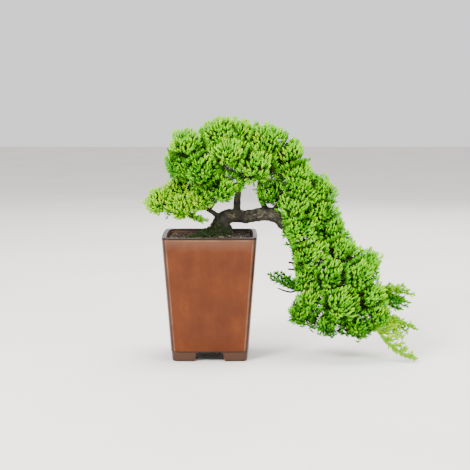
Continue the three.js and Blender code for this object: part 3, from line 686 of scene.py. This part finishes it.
draw = np.random.default_rng(8)
crooked_lines = [line.copy() for line in twig_lines]
for line in crooked_lines:
    line[1:-1, :3] += draw.uniform(-0.35, 0.35, (len(line) - 2, 3))
    line[:, 3] *= draw.uniform(0.85, 1.15, len(line))
twig_points, twig_quads, twig_ends = tubes(crooked_lines, TWIG_SIDES, len(skin_points))
twig_grain = grain_of(twig_points)[0]
trunk_and_limbs = piece_from(
    "trunk_and_limbs_bark", np.concatenate([skin_points, twig_points]) + POT_AXIS,
    [skin_quads, skin_tris, twig_quads, twig_ends], smooth=True)
grain_all = np.concatenate([grain, twig_grain]).astype(np.float32)
# Thin limbs are darker, and so are the twigs.
shaded = relief - 0.2 * np.clip((THICK_LIMB - limb_radius) / 3, 0, 1)
relief_all = np.concatenate([shaded, np.full(len(twig_points), 0.42)]).astype(np.float32)
layer = trunk_and_limbs.data.attributes.new("grain", "FLOAT_VECTOR", "POINT")
layer.data.foreach_set("vector", grain_all.ravel())
layer = trunk_and_limbs.data.attributes.new("relief", "FLOAT", "POINT")
layer.data.foreach_set("value", relief_all)
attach(trunk_and_limbs, "root")
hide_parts("wood")

# Old juniper bark: near black in its cracks, grey-brown on the flakes, with an olive bloom of algae in
# patches. Dry and dull.
bark, shader = new_finish("flaking_juniper_bark")
grain_place = add_node(bark, "Attribute", attribute_name="grain").outputs["Vector"]
height = add_node(bark, "Attribute", attribute_name="relief").outputs["Fac"]
FIBRE_MM = 0.7
fibre_place = add_node(bark, "Mapping", {"Vector": grain_place, "Scale": (1, 1, 0.12)})
fibres = add_node(bark, "TexNoise", {"Vector": fibre_place, "Scale": 1 / FIBRE_MM, "Detail": 4.0})
patches = add_node(bark, "TexNoise", {"Vector": grain_place, "Scale": 1 / 9, "Detail": 3.0})
tone = add_node(bark, "Math", {0: fibres, 1: 0.5, 2: height}, operation="MULTIPLY_ADD")
bark_place = add_node(bark, "TexCoord").outputs["Object"]
stains = add_node(bark, "TexNoise", {"Vector": bark_place, "Scale": 1 / (17 * MM), "Detail": 2.0})
stain = add_node(bark, "Math", {0: stains, 1: 0.9, 2: -0.45}, operation="MULTIPLY_ADD")
tone = add_node(bark, "Math", {0: tone, 1: stain}, operation="ADD")
bark_colour = add_node(bark, "ValToRGB", {"Fac": tone},
                       stops=[(0.35, "#100e0a"), (0.64, "#272118"), (0.88, "#453c2f"), (1.0, "#665c48")])
bloom = add_node(bark, "ValToRGB", {"Fac": patches}, stops=[(0.44, 0.0), (0.62, 0.5)])
bloomed = add_node(bark, "Mix", {"Factor": bloom, "A": bark_colour, "B": linear("#4c4e32")}, data_type="RGBA")
bark_up = add_node(bark, "SeparateXYZ", {"Vector": bark_place}).outputs["Z"]
# Darker towards the foot of the trunk, below 258 mm: damp bark near the soil, and painted shade under the arch
# and the crown.
damp_and_shade = add_node(bark, "MapRange", {
    "Value": bark_up, "From Min": 258 * MM, "From Max": 230 * MM, "To Max": 0.76})
damp_and_shaded = add_node(bark, "Mix", {"Factor": damp_and_shade, "A": bloomed, "B": linear("#14130c")}, data_type="RGBA")
bark_bump = add_node(bark, "Bump", {"Height": fibres, "Strength": 0.6, "Distance": 0.4 * MM})
plug(bark, shader, {"Base Color": damp_and_shaded, "Normal": bark_bump, "Roughness": 0.88})
trunk_and_limbs.data.materials.append(bark)


# Moss: a thin felt of dark cushion moss on the old roots and the foot of the trunk and on the soil next
# to them, with a mound of it over the left root. Each tuft is a few upright leafy points.
TUFT_HEIGHT = 1.7
TUFT_WIDTH = 1.1
TUFTS_ON_WOOD = 2400
TUFTS_ON_SOIL = 1500
SOIL_TRIES = 5200
TUFTS_ON_MOUND = 1900
MOUND_SIDES = 18
MOSS_TOP = 242
PATCH_MIDDLE = (-6, -8)
PATCH_REACH = (34, 20)
MOSS_MOUND = [(18, -9, 228, 9), (6, -11, 224.5, 10), (-8, -13, 218.5, 9.5), (-24, -15, 212, 8),
              (-42, -18, 209, 5)]


def noise_at(points, size):
    """Smooth noise at points, with lumps of about size millimetres."""
    return np.array([noise.noise(Vector(p / size)) for p in points])


draw = np.random.default_rng(21)
skin_normals = vectors_of(trunk_and_limbs.data.vertex_normals, "vector")[:len(skin_points)]
skin_x, skin_y, skin_z = skin_points.T
low_wood = np.nonzero((skin_z < MOSS_TOP) & (skin_z > soil_height(skin_x, skin_y) - 1))[0]
cover = noise_at(skin_points[low_wood], 9.0)
leftness = np.clip((46 - skin_x[low_wood]) / 26, 0, 1) * np.clip((246 - skin_z[low_wood]) / 16, 0, 1)
mossy = low_wood[cover + 1.2 * leftness + draw.uniform(-0.2, 0.2, len(low_wood)) > 0.5]
mossy = draw.choice(mossy, min(len(mossy), TUFTS_ON_WOOD), replace=False)
bed_spots = np.stack([draw.uniform(-46, 44, SOIL_TRIES), draw.uniform(-42, 30, SOIL_TRIES)], 1)
bed_cover = noise_at(np.column_stack([bed_spots, np.full(len(bed_spots), 30.0)]), 10.0)
from_root = np.hypot(*((bed_spots - PATCH_MIDDLE) / PATCH_REACH).T)
bed_spots = bed_spots[(from_root < 1.1) & (bed_cover > -0.1 + 0.45 * from_root)][:TUFTS_ON_SOIL]
mound_line = smooth_line(MOSS_MOUND, 1.2)
mound_points, mound_quads, mound_ends = tubes([mound_line], MOUND_SIDES)
mound_out = unit(mound_points - np.repeat(mound_line[:, :3], MOUND_SIDES, axis=0))
mound_lumps = 1.6 * noise_at(mound_points, 6.0) + 0.8 * noise_at(mound_points, 2.4)
mound_points = mound_points + mound_out * mound_lumps[:, None]
mound_spots = draw.choice(len(mound_points), TUFTS_ON_MOUND)
feet = np.concatenate([skin_points[mossy], np.column_stack([bed_spots, soil_height(*bed_spots.T) + 0.2]),
                       mound_points[mound_spots] + draw.normal(0, 0.4, (TUFTS_ON_MOUND, 3))])
ways = np.concatenate([skin_normals[mossy], np.tile([[0.0, 0.0, 1.0]], (len(bed_spots), 1)),
                       mound_out[mound_spots]])
ways = unit(ways + [0, 0, 0.35] + draw.normal(0, 0.22, ways.shape))
across = unit(np.cross(ways, (0.3, 1.0, 0.1)))
up = np.cross(ways, across)
spin = draw.uniform(0, 2 * math.pi, (len(feet), 1)) + np.arange(4)[None] * math.pi / 2
ring = turned(across[:, None], up[:, None], spin)
size = draw.uniform(0.6, 1.7, (len(feet), 1, 1))
tuft_points = np.concatenate([feet[:, None] + ring * size * TUFT_WIDTH / 2 - ways[:, None] * 0.4,
                              feet[:, None] + ways[:, None] * size * TUFT_HEIGHT], 1).reshape(-1, 3)
tuft_faces = copies([(0, 1, 4), (1, 2, 4), (2, 3, 4), (3, 0, 4), (0, 3, 2), (0, 2, 1)], len(feet), 5)
tuft_uv = np.stack([np.repeat(draw.uniform(0, 1, len(feet)), 5),
                    np.tile([0.1, 0.1, 0.1, 0.1, 0.9], len(feet))], 1)
mound_uv = np.stack([draw.uniform(0, 1, len(mound_points)), draw.uniform(0, 0.5, len(mound_points))], 1)
first = len(tuft_points)
moss = piece_from("moss_on_roots", np.concatenate([tuft_points, mound_points]) + POT_AXIS,
                  [tuft_faces, mound_quads + first, mound_ends + first], uv=np.concatenate([tuft_uv, mound_uv]))
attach(moss, "root")

# Damp cushion moss: nearly black between the tufts, olive green at their points. Dull and velvety.
cushion, shader = new_finish("damp_cushion_moss")
tuft_shade = add_node(cushion, "SeparateXYZ", {"Vector": add_node(cushion, "UVMap", uv_map="OFBake")})
deep = add_node(cushion, "ValToRGB", {"Fac": tuft_shade.outputs["X"]},
                stops=[(0.0, "#0c1108"), (0.6, "#141c0c"), (1.0, "#1f2a14")])
bright = add_node(cushion, "ValToRGB", {"Fac": tuft_shade.outputs["X"]},
                  stops=[(0.0, "#1d2e13"), (0.5, "#2e481b"), (0.8, "#4e622e"), (1.0, "#665438")])
moss_colour = add_node(cushion, "Mix", {
    "Factor": tuft_shade.outputs["Y"], "A": deep, "B": bright}, data_type="RGBA")
plug(cushion, shader, {"Base Color": moss_colour, "Roughness": 0.9, "Specular IOR Level": 0.15})
moss.data.materials.append(cushion)


# Foliage: bunches of short leafy shoots at the twigs' ends, plump fingers of close, awl-shaped needles
# in threes. Young tips are yellow-green, the inner needles deep green; painted shade darkens the hollows and
# where bunches meet, and painted light brightens the shoots that face up. All of it grows up to the light.
NEEDLE_LENGTH = 3.1
NEEDLE_WIDTH = 1.3
SHOOT_RADIUS = 1.25


def sideways(ahead):
    """Two directions across each direction."""
    helper = np.where(np.abs(ahead[..., 2:3]) < 0.85, np.array([0, 0, 1.0]), np.array([1.0, 0, 0]))
    across = unit(np.cross(ahead, helper))
    return across, np.cross(ahead, across)


def leafy(feet, tips, bend, age_and_light, hue, draw, whorls=4, length=NEEDLE_LENGTH, thick=SHOOT_RADIUS,
          broad=NEEDLE_WIDTH, mottle=0.04):
    """Points, triangles and shades of leafy shoots: needles in threes, close round a green stem."""
    count = len(feet)

    def along(s):
        """Places on each bent shoot, at shares of its length."""
        return (feet[:, None] + (tips - feet)[:, None] * s[None, :, None]
                + bend[:, None] * (4 * s * (1 - s))[None, :, None])

    t = 0.12 + 0.84 * (np.arange(whorls) + 0.5) / whorls
    places = along(t)
    ahead = unit(along(t + 0.02) - along(t - 0.02))
    across, up = sideways(ahead)
    turn = (draw.uniform(0, 2 * math.pi, (count, 1, 1)) + np.arange(whorls)[None, :, None] * math.pi / 3
            + np.arange(3)[None, None] * 2 * math.pi / 3 + draw.normal(0, 0.2, (count, whorls, 3)))
    out = turned(across[:, :, None], up[:, :, None], turn)
    lean = np.radians(np.interp(t, [0, 0.6, 1], [38, 32, 10]))[None, :, None] + draw.normal(0, 0.12, turn.shape)
    needle = turned(ahead[:, :, None], out, lean)
    reach = length * draw.uniform(0.82, 1.2, turn.shape)
    side = unit(np.cross(needle, out))
    keel = np.cross(side, needle)
    width = np.interp(t, [0, 0.5, 0.9, 1], [0.6, 1.0, 0.75, 0.4]) * thick
    foot = places[:, :, None] + out * (0.75 * width)[None, :, None, None]
    middle = foot + needle * (reach * 0.42)[..., None]
    half = broad / 2
    corners = np.stack([foot, middle + side * half - keel * 0.25, middle - side * half - keel * 0.25,
                        foot + needle * reach[..., None]], 3)
    points = corners.reshape(-1, 3)
    triangles = copies([(0, 1, 3), (0, 3, 2)], len(points) // 4, 4)
    tint = np.clip(hue[:, None, None] + draw.normal(0, 2.5 * mottle, turn.shape), 0.02, 0.98)
    needle_age_and_light = age_and_light[:, None, None] + 0.46 * (t[None, :, None] - 0.55) + draw.normal(0, mottle, turn.shape)
    needle_age_and_light = np.clip(needle_age_and_light, 0.1, 0.9)
    uv = np.stack([np.repeat(tint[..., None], 4, -1), needle_age_and_light[..., None] + np.array([-0.07, 0, 0, 0.08])], -1)
    ring = turned(across[:, :1, None], up[:, :1, None], np.arange(4) * math.pi / 2)
    rings = along(np.array([0.0, 0.75]))[:, :, None]
    rings = rings + ring * (thick * np.array([0.6, 1.0]))[None, :, None, None]
    stem_points = np.concatenate([rings.reshape(count, 8, 3), tips[:, None]], 1).reshape(-1, 3)
    one = [(i, (i + 1) % 4, (i + 1) % 4 + 4) for i in range(4)]
    one += [(i, (i + 1) % 4 + 4, i + 4) for i in range(4)]
    one += [(4 + i, 4 + (i + 1) % 4, 8) for i in range(4)]
    stem_triangles = copies(one, count, 9, len(points))
    stem_old = np.repeat(np.clip(age_and_light[:, None] + np.array([-0.34, 0.0])[None], 0.07, 0.9), 4, 1)
    tip_old = np.clip(age_and_light[:, None] + 0.14, 0.07, 0.92)
    stem_uv = np.stack([np.repeat(hue[:, None], 9, 1), np.concatenate([stem_old, tip_old], 1)], -1)
    return (np.concatenate([points, stem_points]), np.concatenate([triangles, stem_triangles]),
            np.concatenate([uv.reshape(-1, 2), stem_uv.reshape(-1, 2)]))


def joined(parts):
    """Several sets of points, triangles and shades as one."""
    first = np.cumsum([0] + [len(p[0]) for p in parts[:-1]])
    return (np.concatenate([p[0] for p in parts]),
            np.concatenate([p[1] + f for p, f in zip(parts, first)]), np.concatenate([p[2] for p in parts]))


def slim_stems(starts, ends, radius):
    """Bare brown stems between pairs of places, with three sides each."""
    ahead = unit(ends - starts)
    across, up = sideways(ahead)
    ring = turned(across[:, None], up[:, None], np.arange(3) * 2 * math.pi / 3)
    points = np.stack([starts[:, None] + ring * radius, ends[:, None] + ring * radius * 0.6], 1).reshape(-1, 3)
    triangles = copies([(0, 1, 4), (0, 4, 3), (1, 2, 5), (1, 5, 4), (2, 0, 3), (2, 3, 5)], len(starts), 6)
    return points, triangles, np.tile([[0.5, 0.02]], (len(points), 1))


CELL_REACH = 1.5


def cell_of(middle, reach):
    """The planes between a bunch and its neighbours, as normals and distances from its middle."""
    normals, limits = [], []
    for _, other, other_reach in bunch_rows:
        away = other - middle
        distance = np.linalg.norm(away)
        if distance > 1:
            normals.append(away / distance)
            limits.append((distance ** 2 + reach ** 2 - other_reach ** 2) / (2 * distance) + CELL_REACH)
    return np.array(normals), np.array(limits)


def share_inside(ends, normals, limits):
    """How much of the way from a bunch's middle to ends stays on the near side of every plane."""
    along = ends @ normals.T
    return np.clip(np.where(along > limits, limits / np.maximum(along, 1e-6), 1.0).min(1), 0, 1)


GOLDEN_ANGLE = math.pi * (3 - math.sqrt(5))


def spread_ways(count, spin):
    """So many directions, evenly spread over a sphere that is turned by spin."""
    k = np.arange(count) + 0.5
    z = 1 - 2 * k / count
    flat = np.sqrt(1 - z ** 2)
    return np.stack([flat * np.cos(GOLDEN_ANGLE * k), flat * np.sin(GOLDEN_ANGLE * k), z], 1) @ spin


TIP_SPREAD = math.cos(math.radians(27))
FILLER_SPREAD = math.cos(math.radians(34))
SHORTEST_TIP = 0.55
FILLER_TRIES = 26
LOBE_FALL = 0.30
LOBE_WIDTH = math.radians(30)


def skin_of(ways, lobes):
    """How far a bunch reaches each way, as the outer skin of its lobes, and which lobe that is."""
    far = np.linalg.norm(lobes, axis=1)
    angle = np.arccos(np.clip(ways @ (lobes / far[:, None]).T, -1, 1))
    heights = far[None] * (1 - LOBE_FALL * (angle / LOBE_WIDTH) ** 2)
    best = heights.argmax(1)
    return heights[np.arange(len(ways)), best], best


# The way that each group's shoots grow: up, and outwards where the limb does. Then how warm its green is,
# and how young; the left pad's higher value and those of single bunches that stand in the shade or the light
# are painted light and shade.
GROWTH = {"crown": (0.0, -0.08, 1.0), "left": (-0.3, -0.12, 0.92), "shoulder": (0.2, -0.1, 0.95),
          "cascade": (0.42, -0.12, 0.88)}
WARMTH = {"crown": 0.52, "left": 0.8, "shoulder": 0.44, "cascade": 0.36}
YOUTH_AND_LIGHT = {"crown": 0.06, "left": 0.24, "shoulder": 0.02, "cascade": 0.04, "crown_middle_01": -0.3,
         "crown_middle_03": -0.1, "crown_front_02": -0.05, "crown_front_03": -0.09, "crown_front_06": 0.03,
         "cascade_front_12": -0.1, "cascade_front_13": -0.12, "cascade_front_14": -0.22,
         "cascade_back_05": -0.14}
FILL_REACH = 1.3
OUTER_SHOOTS = 280
INNER_SHOOTS = 40
HIDDEN_SHARE = 0.74
HIDDEN_KEPT = 0.12
SHOOT_LENGTHS = (7.5, 10.5)
INNER_REACH = 0.66
# The inner shoots' deep green: their own older needles, darkened further with painted shade in the bunch's
# depth.
INNER_AGE_AND_SHADE = 0.18
INNER_HUE = 0.3
LOBE_STEM = 0.8
SHOOT_STEM = 0.45
foliage_pieces = []
for index, (name, middle, reach) in enumerate(bunch_rows):
    draw = np.random.default_rng(100 + index)
    normals, limits = cell_of(middle, reach)
    group = name.split("_")[0]
    growth = np.array(GROWTH[group])
    points = vectors_of(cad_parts[name].data.vertices) / MM - POT_AXIS - middle
    distances = np.linalg.norm(points, axis=1)
    lobes = []
    for i in np.argsort(-distances):
        if distances[i] < SHORTEST_TIP * reach:
            break
        if all(points[i].dot(l) < TIP_SPREAD * distances[i] * np.linalg.norm(l) for l in lobes):
            lobes.append(points[i])
    for way in spread_ways(FILLER_TRIES, turns(1, draw)[0]):
        if all(way.dot(unit(l)) < FILLER_SPREAD for l in lobes):
            lobes.append(way * reach * draw.uniform(0.84, 0.97))
    lobes = np.array(lobes)
    lobe_ways = unit(lobes)
    lobe_age = draw.normal(0, 0.05, len(lobes))
    lobe_hue = draw.normal(WARMTH[group], 0.16, len(lobes))
    outer_count = int(OUTER_SHOOTS * (reach / 30) ** 2)
    ways = unit(spread_ways(outer_count, turns(1, draw)[0]) + draw.normal(0, 0.05, (outer_count, 3)))
    height, lobe = skin_of(ways, lobes)
    depth = np.clip(height / reach, 0.5, 1.05)
    height = height * draw.normal(1.0, 0.03, len(height))
    wall = FILL_REACH * reach * share_inside(ways * FILL_REACH * reach, normals, limits)
    met = wall < 0.98 * FILL_REACH * reach
    height = np.where(met, np.maximum(height, wall), height)
    inside = share_inside(ways * height[:, None], normals, limits)
    kept = (wall > HIDDEN_SHARE * reach) | (draw.uniform(size=len(ways)) < HIDDEN_KEPT)
    ways, height, lobe, inside, depth, met = (v[kept] for v in (ways, height, lobe, inside, depth, met))
    tips = ways * (height * inside)[:, None]
    lift = (0.62 + 0.3 * ways @ growth)[:, None] * growth
    heading = unit(0.55 * ways + 0.2 * lobe_ways[lobe] + lift + draw.normal(0, 0.2, ways.shape))
    feet = tips - heading * (draw.uniform(*SHOOT_LENGTHS, len(tips)) * np.clip(inside, 0.6, 1))[:, None]
    youth_and_light = YOUTH_AND_LIGHT.get(name, YOUTH_AND_LIGHT[group])
    # Painted light and shade: shoots low in a bunch's hollows and where bunches meet are darker, those facing
    # up lighter.
    ages_and_painted_light = (0.50 + youth_and_light + 0.9 * (depth - 0.82) + 0.16 * ways @ growth - 0.08 * met + lobe_age[lobe]
            + draw.normal(0, 0.05, len(tips)))
    hues = lobe_hue[lobe] + draw.normal(0, 0.08, len(tips))
    bends = draw.normal(0, 0.5, tips.shape) - [0, 0, 0.5]
    outer = leafy(feet, tips, bends, np.clip(ages_and_painted_light, 0.2, 0.86), hues, draw)
    inner_ways = spread_ways(INNER_SHOOTS, turns(1, draw)[0])
    inner_height = skin_of(inner_ways, lobes)[0]
    inside_share = share_inside(inner_ways * inner_height[:, None], normals, limits)
    inner_height = inner_height * np.minimum(inside_share, INNER_REACH)
    inner_tips = inner_ways * inner_height[:, None]
    inner = leafy(inner_tips * 0.35, inner_tips, draw.normal(0, 0.6, inner_tips.shape),
                  np.full(INNER_SHOOTS, INNER_AGE_AND_SHADE), np.full(INNER_SHOOTS, INNER_HUE), draw,
                  whorls=5, length=7.5, broad=3.0)
    knots = lobes[lobe] * 0.5 * np.clip(inside, 0.5, 1)[:, None]
    points, triangles, shades = joined([outer, inner, slim_stems(np.zeros_like(lobes), lobes * 0.52, LOBE_STEM),
                                        slim_stems(knots, feet, SHOOT_STEM)])
    piece = piece_from(f"needles_{name}", points + middle + POT_AXIS, [triangles], uv=shades)
    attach(piece, "root")
    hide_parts(name)
    foliage_pieces.append(piece)


# Waxy juniper needles: a yellow-green at the young tips and where painted light falls, mid green below them,
# deep green inside, partly painted shade, and brown at the stem. A thin wax bloom keeps them matt.
def needle_finish(name, cool_stops, warm_stops):
    """Needles whose OFBake map holds how warm their green is, then how young they are, with painted light and
    shade laid into that.
    """
    needles, shader = new_finish(name)
    shade = add_node(needles, "SeparateXYZ", {"Vector": add_node(needles, "UVMap", uv_map="OFBake")})
    cool = add_node(needles, "ValToRGB", {"Fac": shade.outputs["Y"]}, stops=cool_stops)
    warm = add_node(needles, "ValToRGB", {"Fac": shade.outputs["Y"]}, stops=warm_stops)
    colour = add_node(needles, "Mix", {"Factor": shade.outputs["X"], "A": cool, "B": warm}, data_type="RGBA")
    plug(needles, shader, {"Base Color": colour, "Roughness": 0.7, "Specular IOR Level": 0.0})
    return needles


needles = needle_finish("waxy_juniper_needles",
                        [(0.03, "#2e2015"), (0.09, "#1d4410"), (0.32, "#36880f"), (0.52, "#56b60c"),
                         (0.74, "#76cc04"), (0.95, "#94d404")],
                        [(0.03, "#34261a"), (0.09, "#24460f"), (0.32, "#4c920f"), (0.52, "#72c20c"),
                         (0.74, "#94d004"), (0.95, "#b6d806")])
for piece in foliage_pieces:
    piece.data.materials.append(needles)


# Trailing shoots: long young growth of this year, leafy from end to end with leafy side shoots. Four are at
# the end of the cascade, one by the pot and one under the left limb. Their needles are brighter.
young_needles = needle_finish("young_juniper_needles",
                              [(0.03, "#3a2c1a"), (0.09, "#0e2c10"), (0.32, "#206422"), (0.6, "#48a414"),
                               (0.95, "#84cc04")],
                              [(0.03, "#3a2c1a"), (0.09, "#1b3a04"), (0.32, "#458a04"), (0.6, "#82bc04"),
                               (0.95, "#badc04")])
# Each trail's side shoots: how far apart, the first one's length, the way that they lean, and how young
# and how warm their green is. Then its strands: where each one's tip lies from the first one's.
SIDE_SHOOTS = {
    "tail_low": (15, 32, (1.0, -0.1, 0.5), 0.70, 0.8, [(0, 0, 0), (-6, 4, 2), (-2, -4, 3), (-32, 14, 46),
                                                        (-42, 12, 58)]),
    "tail_middle": (9, 17, (0.6, -0.1, 0.1), 0.58, 0.6, [(0, 0, 0), (-9, -5, 7), (-17, 4, -5), (-26, -6, -15),
                                                         (-22, 6, 9), (-36, 4, -10), (-30, -4, 2)]),
    "tail_upper": (9, 17, (0.6, -0.1, 0.12), 0.57, 0.55, [(0, 0, 0), (-10, -6, 8), (-17, 5, 14), (-26, -6, 13),
                                                          (-18, -3, -10), (-30, 4, -4)]),
    # tail_under's low youth is painted shade under tail_upper.
    "tail_under": (8, 15, (0.6, -0.1, 0.0), 0.32, 0.0, [(0, 0, 8), (-5, -5, 2), (-12, 6, 16), (-22, -4, -4),
                                                        (-14, 4, 12), (-24, 3, 18), (-14, -4, -4)]),
    "inner_sprig": (8, 13, (-0.3, -0.15, 0.6), 0.34, 0.1, [(0, 0, 0), (11, -5, 3), (22, 5, 2), (32, -4, -4),
                                                           (3, 6, -9)]),
    "left_sprig": (6, 9, (0.6, -0.1, 0.0), 0.52, 0.5, [(0, 0, 0), (-8, -4, 4), (-10, 4, -3)]),
}
BEHIND = 14
STEM_STEP = 5
STEM_PIECE = 8
FRINGE_STEP = 3
FRINGE_LENGTHS = (6.5, 10.5)
GOLDEN_TURN = 2.4
for index, (name, rows) in enumerate(TRAILS.items()):
    draw = np.random.default_rng(300 + index)
    pitch, side_length, side_lean, youth_and_shade, warmth, tip_shifts = SIDE_SHOOTS[name]
    rows = np.array(rows, float)
    rows = np.vstack([rows[0] - unit(rows[1] - rows[0]) * BEHIND, rows])
    cords = []
    for strand, shift in enumerate(tip_shifts):
        steps = np.linspace(0, 1, len(rows))[:, None]
        line = smooth_line(np.column_stack([rows + steps * shift, np.full(len(rows), 0.9)]), 1.0)[:, :3]
        shade_of_it = youth_and_shade - 0.08 * (strand % 3)
        cords.append((line, shade_of_it))
        ahead, across, up = carried_frames(line)
        for k, i in enumerate(range(int(pitch * 0.7 + 1.3 * strand), len(line) - 6, int(pitch))):
            along = i / len(line)
            turn = k * GOLDEN_TURN + strand + draw.normal(0, 0.4)
            side = turned(across[i], up[i], turn)
            direction = unit(0.5 * ahead[i] + 0.35 * side + np.array(side_lean))
            far = side_length * (1.1 - 0.75 * along) * draw.uniform(0.85, 1.1)
            steps_out = np.arange(max(6, int(far)))[:, None]
            cords.append((line[i] + direction * steps_out + np.array([0, 0, 0.012]) * steps_out ** 2,
                          shade_of_it + 0.08))
    feet, tips, ages_and_painted_light = [], [], []
    for line, shade_of_it in cords:
        ahead, across, up = carried_frames(line)
        spin = draw.uniform(0, 2 * math.pi)
        for i in range(0, len(line) - 3, STEM_STEP):
            feet.append(line[i])
            tips.append(line[min(i + STEM_PIECE, len(line) - 1)])
            ages_and_painted_light.append(shade_of_it + 0.16 * i / len(line))
        for k, i in enumerate(range(2, len(line) - 3, FRINGE_STEP)):
            side = turned(across[i], up[i], spin + GOLDEN_TURN * k)
            way = unit(ahead[i] + draw.uniform(0.55, 0.85) * side + draw.normal(0, 0.12, 3))
            feet.append(line[i])
            tips.append(line[i] + way * draw.uniform(*FRINGE_LENGTHS) * (1 - 0.35 * i / len(line)))
            ages_and_painted_light.append(shade_of_it + draw.normal(0.04, 0.07) + 0.14 * i / len(line))
    bends = np.tile([[0.0, 0.0, -0.4]], (len(feet), 1))
    points, triangles, shades = leafy(
        np.array(feet), np.array(tips), bends, np.clip(ages_and_painted_light, 0.14, 0.9), draw.normal(warmth, 0.14, len(feet)),
        draw, thick=1.0, mottle=0.08)
    piece = piece_from(f"shoot_{name}", points + POT_AXIS, [triangles], uv=shades)
    piece.data.materials.append(young_needles)
    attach(piece, "root")
    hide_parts(name)


# Inner growth: short leafy shoots straight from the old wood and from hidden twigs, over the hanging trunk,
# on the limbs and between the bunches. Most are deep green, darkened with painted shade, as little light
# reaches them.
SPRAY = 5
SPRAY_LENGTHS = (6, 9)
# Each row: its line, the shares of the line where shoots begin and end, how many, the way that they lean,
# how far they reach and how young their green is, where the low values are painted shade.
INNER_GROWTH = [
    ("hanging_trunk", TRUNK, 0.43, 0.66, 34, (-0.5, -0.75, 0.45), 10, 0.40),
    ("leader", LIMBS["leader"], 0.45, 0.9, 22, (0.0, -0.6, 0.9), 14, 0.20),
    ("crown_under", [(22, -26, 326, 2.4), (40, -30, 322, 2.4), (58, -30, 324, 2.0), (74, -24, 330, 1.6)],
     0.0, 1.0, 30, (0.0, -0.4, -0.1), 17, 0.22),
    ("right_limb", LIMBS["right"], 0.3, 0.9, 14, (0.2, -0.6, 0.9), 15, 0.22),
    ("lower_limb", [(214, -34, 116, 3), (250, -36, 104, 2.6), (276, -38, 96, 2.2), (298, -40, 88, 1.6)],
     0.0, 1.0, 34, (0.2, -0.2, 0.1), 21, 0.16),
    ("cascade_end", [(222, -46, 84, 2.6), (240, -48, 70, 2.4), (256, -52, 61, 2.0), (272, -52, 60, 1.4)],
     0.0, 1.0, 30, (0.2, -0.1, -0.1), 18, 0.16),
    ("cascade_corner", [(262, -42, 92, 2.0), (276, -44, 82, 2.0), (288, -44, 76, 1.6)],
     0.0, 1.0, 14, (0.2, -0.2, 0.1), 14, 0.18),
    ("leader_front", [(28, -40, 312, 2.0), (42, -42, 303, 2.0), (54, -36, 308, 1.6)],
     0.0, 1.0, 16, (0.2, -0.5, 0.1), 12, 0.40),
    ("crown_side", [(110, -22, 384, 2.0), (124, -24, 389, 1.8), (136, -22, 381, 1.6)],
     0.0, 1.0, 14, (0.4, -0.2, 0.8), 13, 0.42),
]
for index, (name, rows, first, last, count, lean, far, youth_and_shade) in enumerate(INNER_GROWTH):
    draw = np.random.default_rng(400 + index)
    line = smooth_line(rows, 1.0)
    picks = (np.linspace(first, last, count) * (len(line) - 1)).astype(int)
    feet, tips = [], []
    for i in picks:
        direction = unit(np.array(lean) + draw.normal(0, 0.35 if np.linalg.norm(lean) > 0.5 else 0.8, 3))
        foot = line[i, :3] + direction * line[i, 3] * 0.7
        reach = far * draw.uniform(0.75, 1.15)
        feet.append(foot)
        tips.append(foot + direction * reach)
        for _ in range(SPRAY):
            side_foot = foot + direction * reach * draw.uniform(0.2, 0.75)
            side_way = unit(direction + draw.normal(0, 0.6, 3) + [0, 0, 0.3])
            feet.append(side_foot)
            tips.append(side_foot + side_way * draw.uniform(*SPRAY_LENGTHS))
    points, triangles, shades = leafy(
        np.array(feet), np.array(tips), draw.normal(0, 0.5, (len(feet), 3)),
        draw.normal(youth_and_shade, 0.05, len(feet)), draw.normal(0.35, 0.1, len(feet)), draw, whorls=5)
    piece = piece_from(f"inner_growth_{name}", points + POT_AXIS, [triangles], uv=shades)
    piece.data.materials.append(needles)
    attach(piece, "root")


# Studio: a plain pale floor in a pale room, and large soft lights from the front left, the right, above
# and behind.
floor = piece_from("floor", [(-8000, -8000, 0), (8000, -8000, 0), (8000, 8000, 0), (-8000, 8000, 0)],
                   [np.array([[0, 1, 2, 3]])])
paper, shader = new_finish("matt_pale_paper")
place = add_node(paper, "TexCoord").outputs["Object"]
tooth = add_node(paper, "TexNoise", {"Vector": place, "Scale": 1 / (400 * MM), "Detail": 2.0})
paper_colour = add_node(paper, "ValToRGB", {"Fac": tooth}, stops=[(0.3, "#dedad4"), (0.7, "#e4e1dc")])
plug(paper, shader, {"Base Color": paper_colour, "Roughness": 0.95})
floor.data.materials.append(paper)

LIGHTS = {
    "key": ((-1.5, -2.1, 2.1), (0.0, 0.0, 0.25), 1.2, 195),
    "fill": ((2.2, -1.6, 1.2), (0.0, 0.0, 0.2), 1.6, 60),
    "top": ((0.1, 0.2, 2.6), (0.0, 0.0, 0.2), 1.4, 105),
    "back": ((0.6, 2.4, 1.7), (0.0, 0.0, 0.25), 1.8, 50),
}
for name, (place, aim, size, power) in LIGHTS.items():
    light = bpy.data.lights.new(name, "AREA")
    light.shape = "DISK"
    light.size = size
    light.energy = power
    lamp = bpy.data.objects.new(name, light)
    lamp.location = place
    lamp.rotation_euler = (Vector(aim) - Vector(place)).to_track_quat("-Z", "Y").to_euler()
    bpy.context.scene.collection.objects.link(lamp)
world = bpy.data.worlds.new("pale_room")
world.use_nodes = True
background = next(n for n in world.node_tree.nodes if n.type == "BACKGROUND")
plug(world, background, {"Color": linear("#e8e8ea"), "Strength": 1.5})
bpy.context.scene.world = world
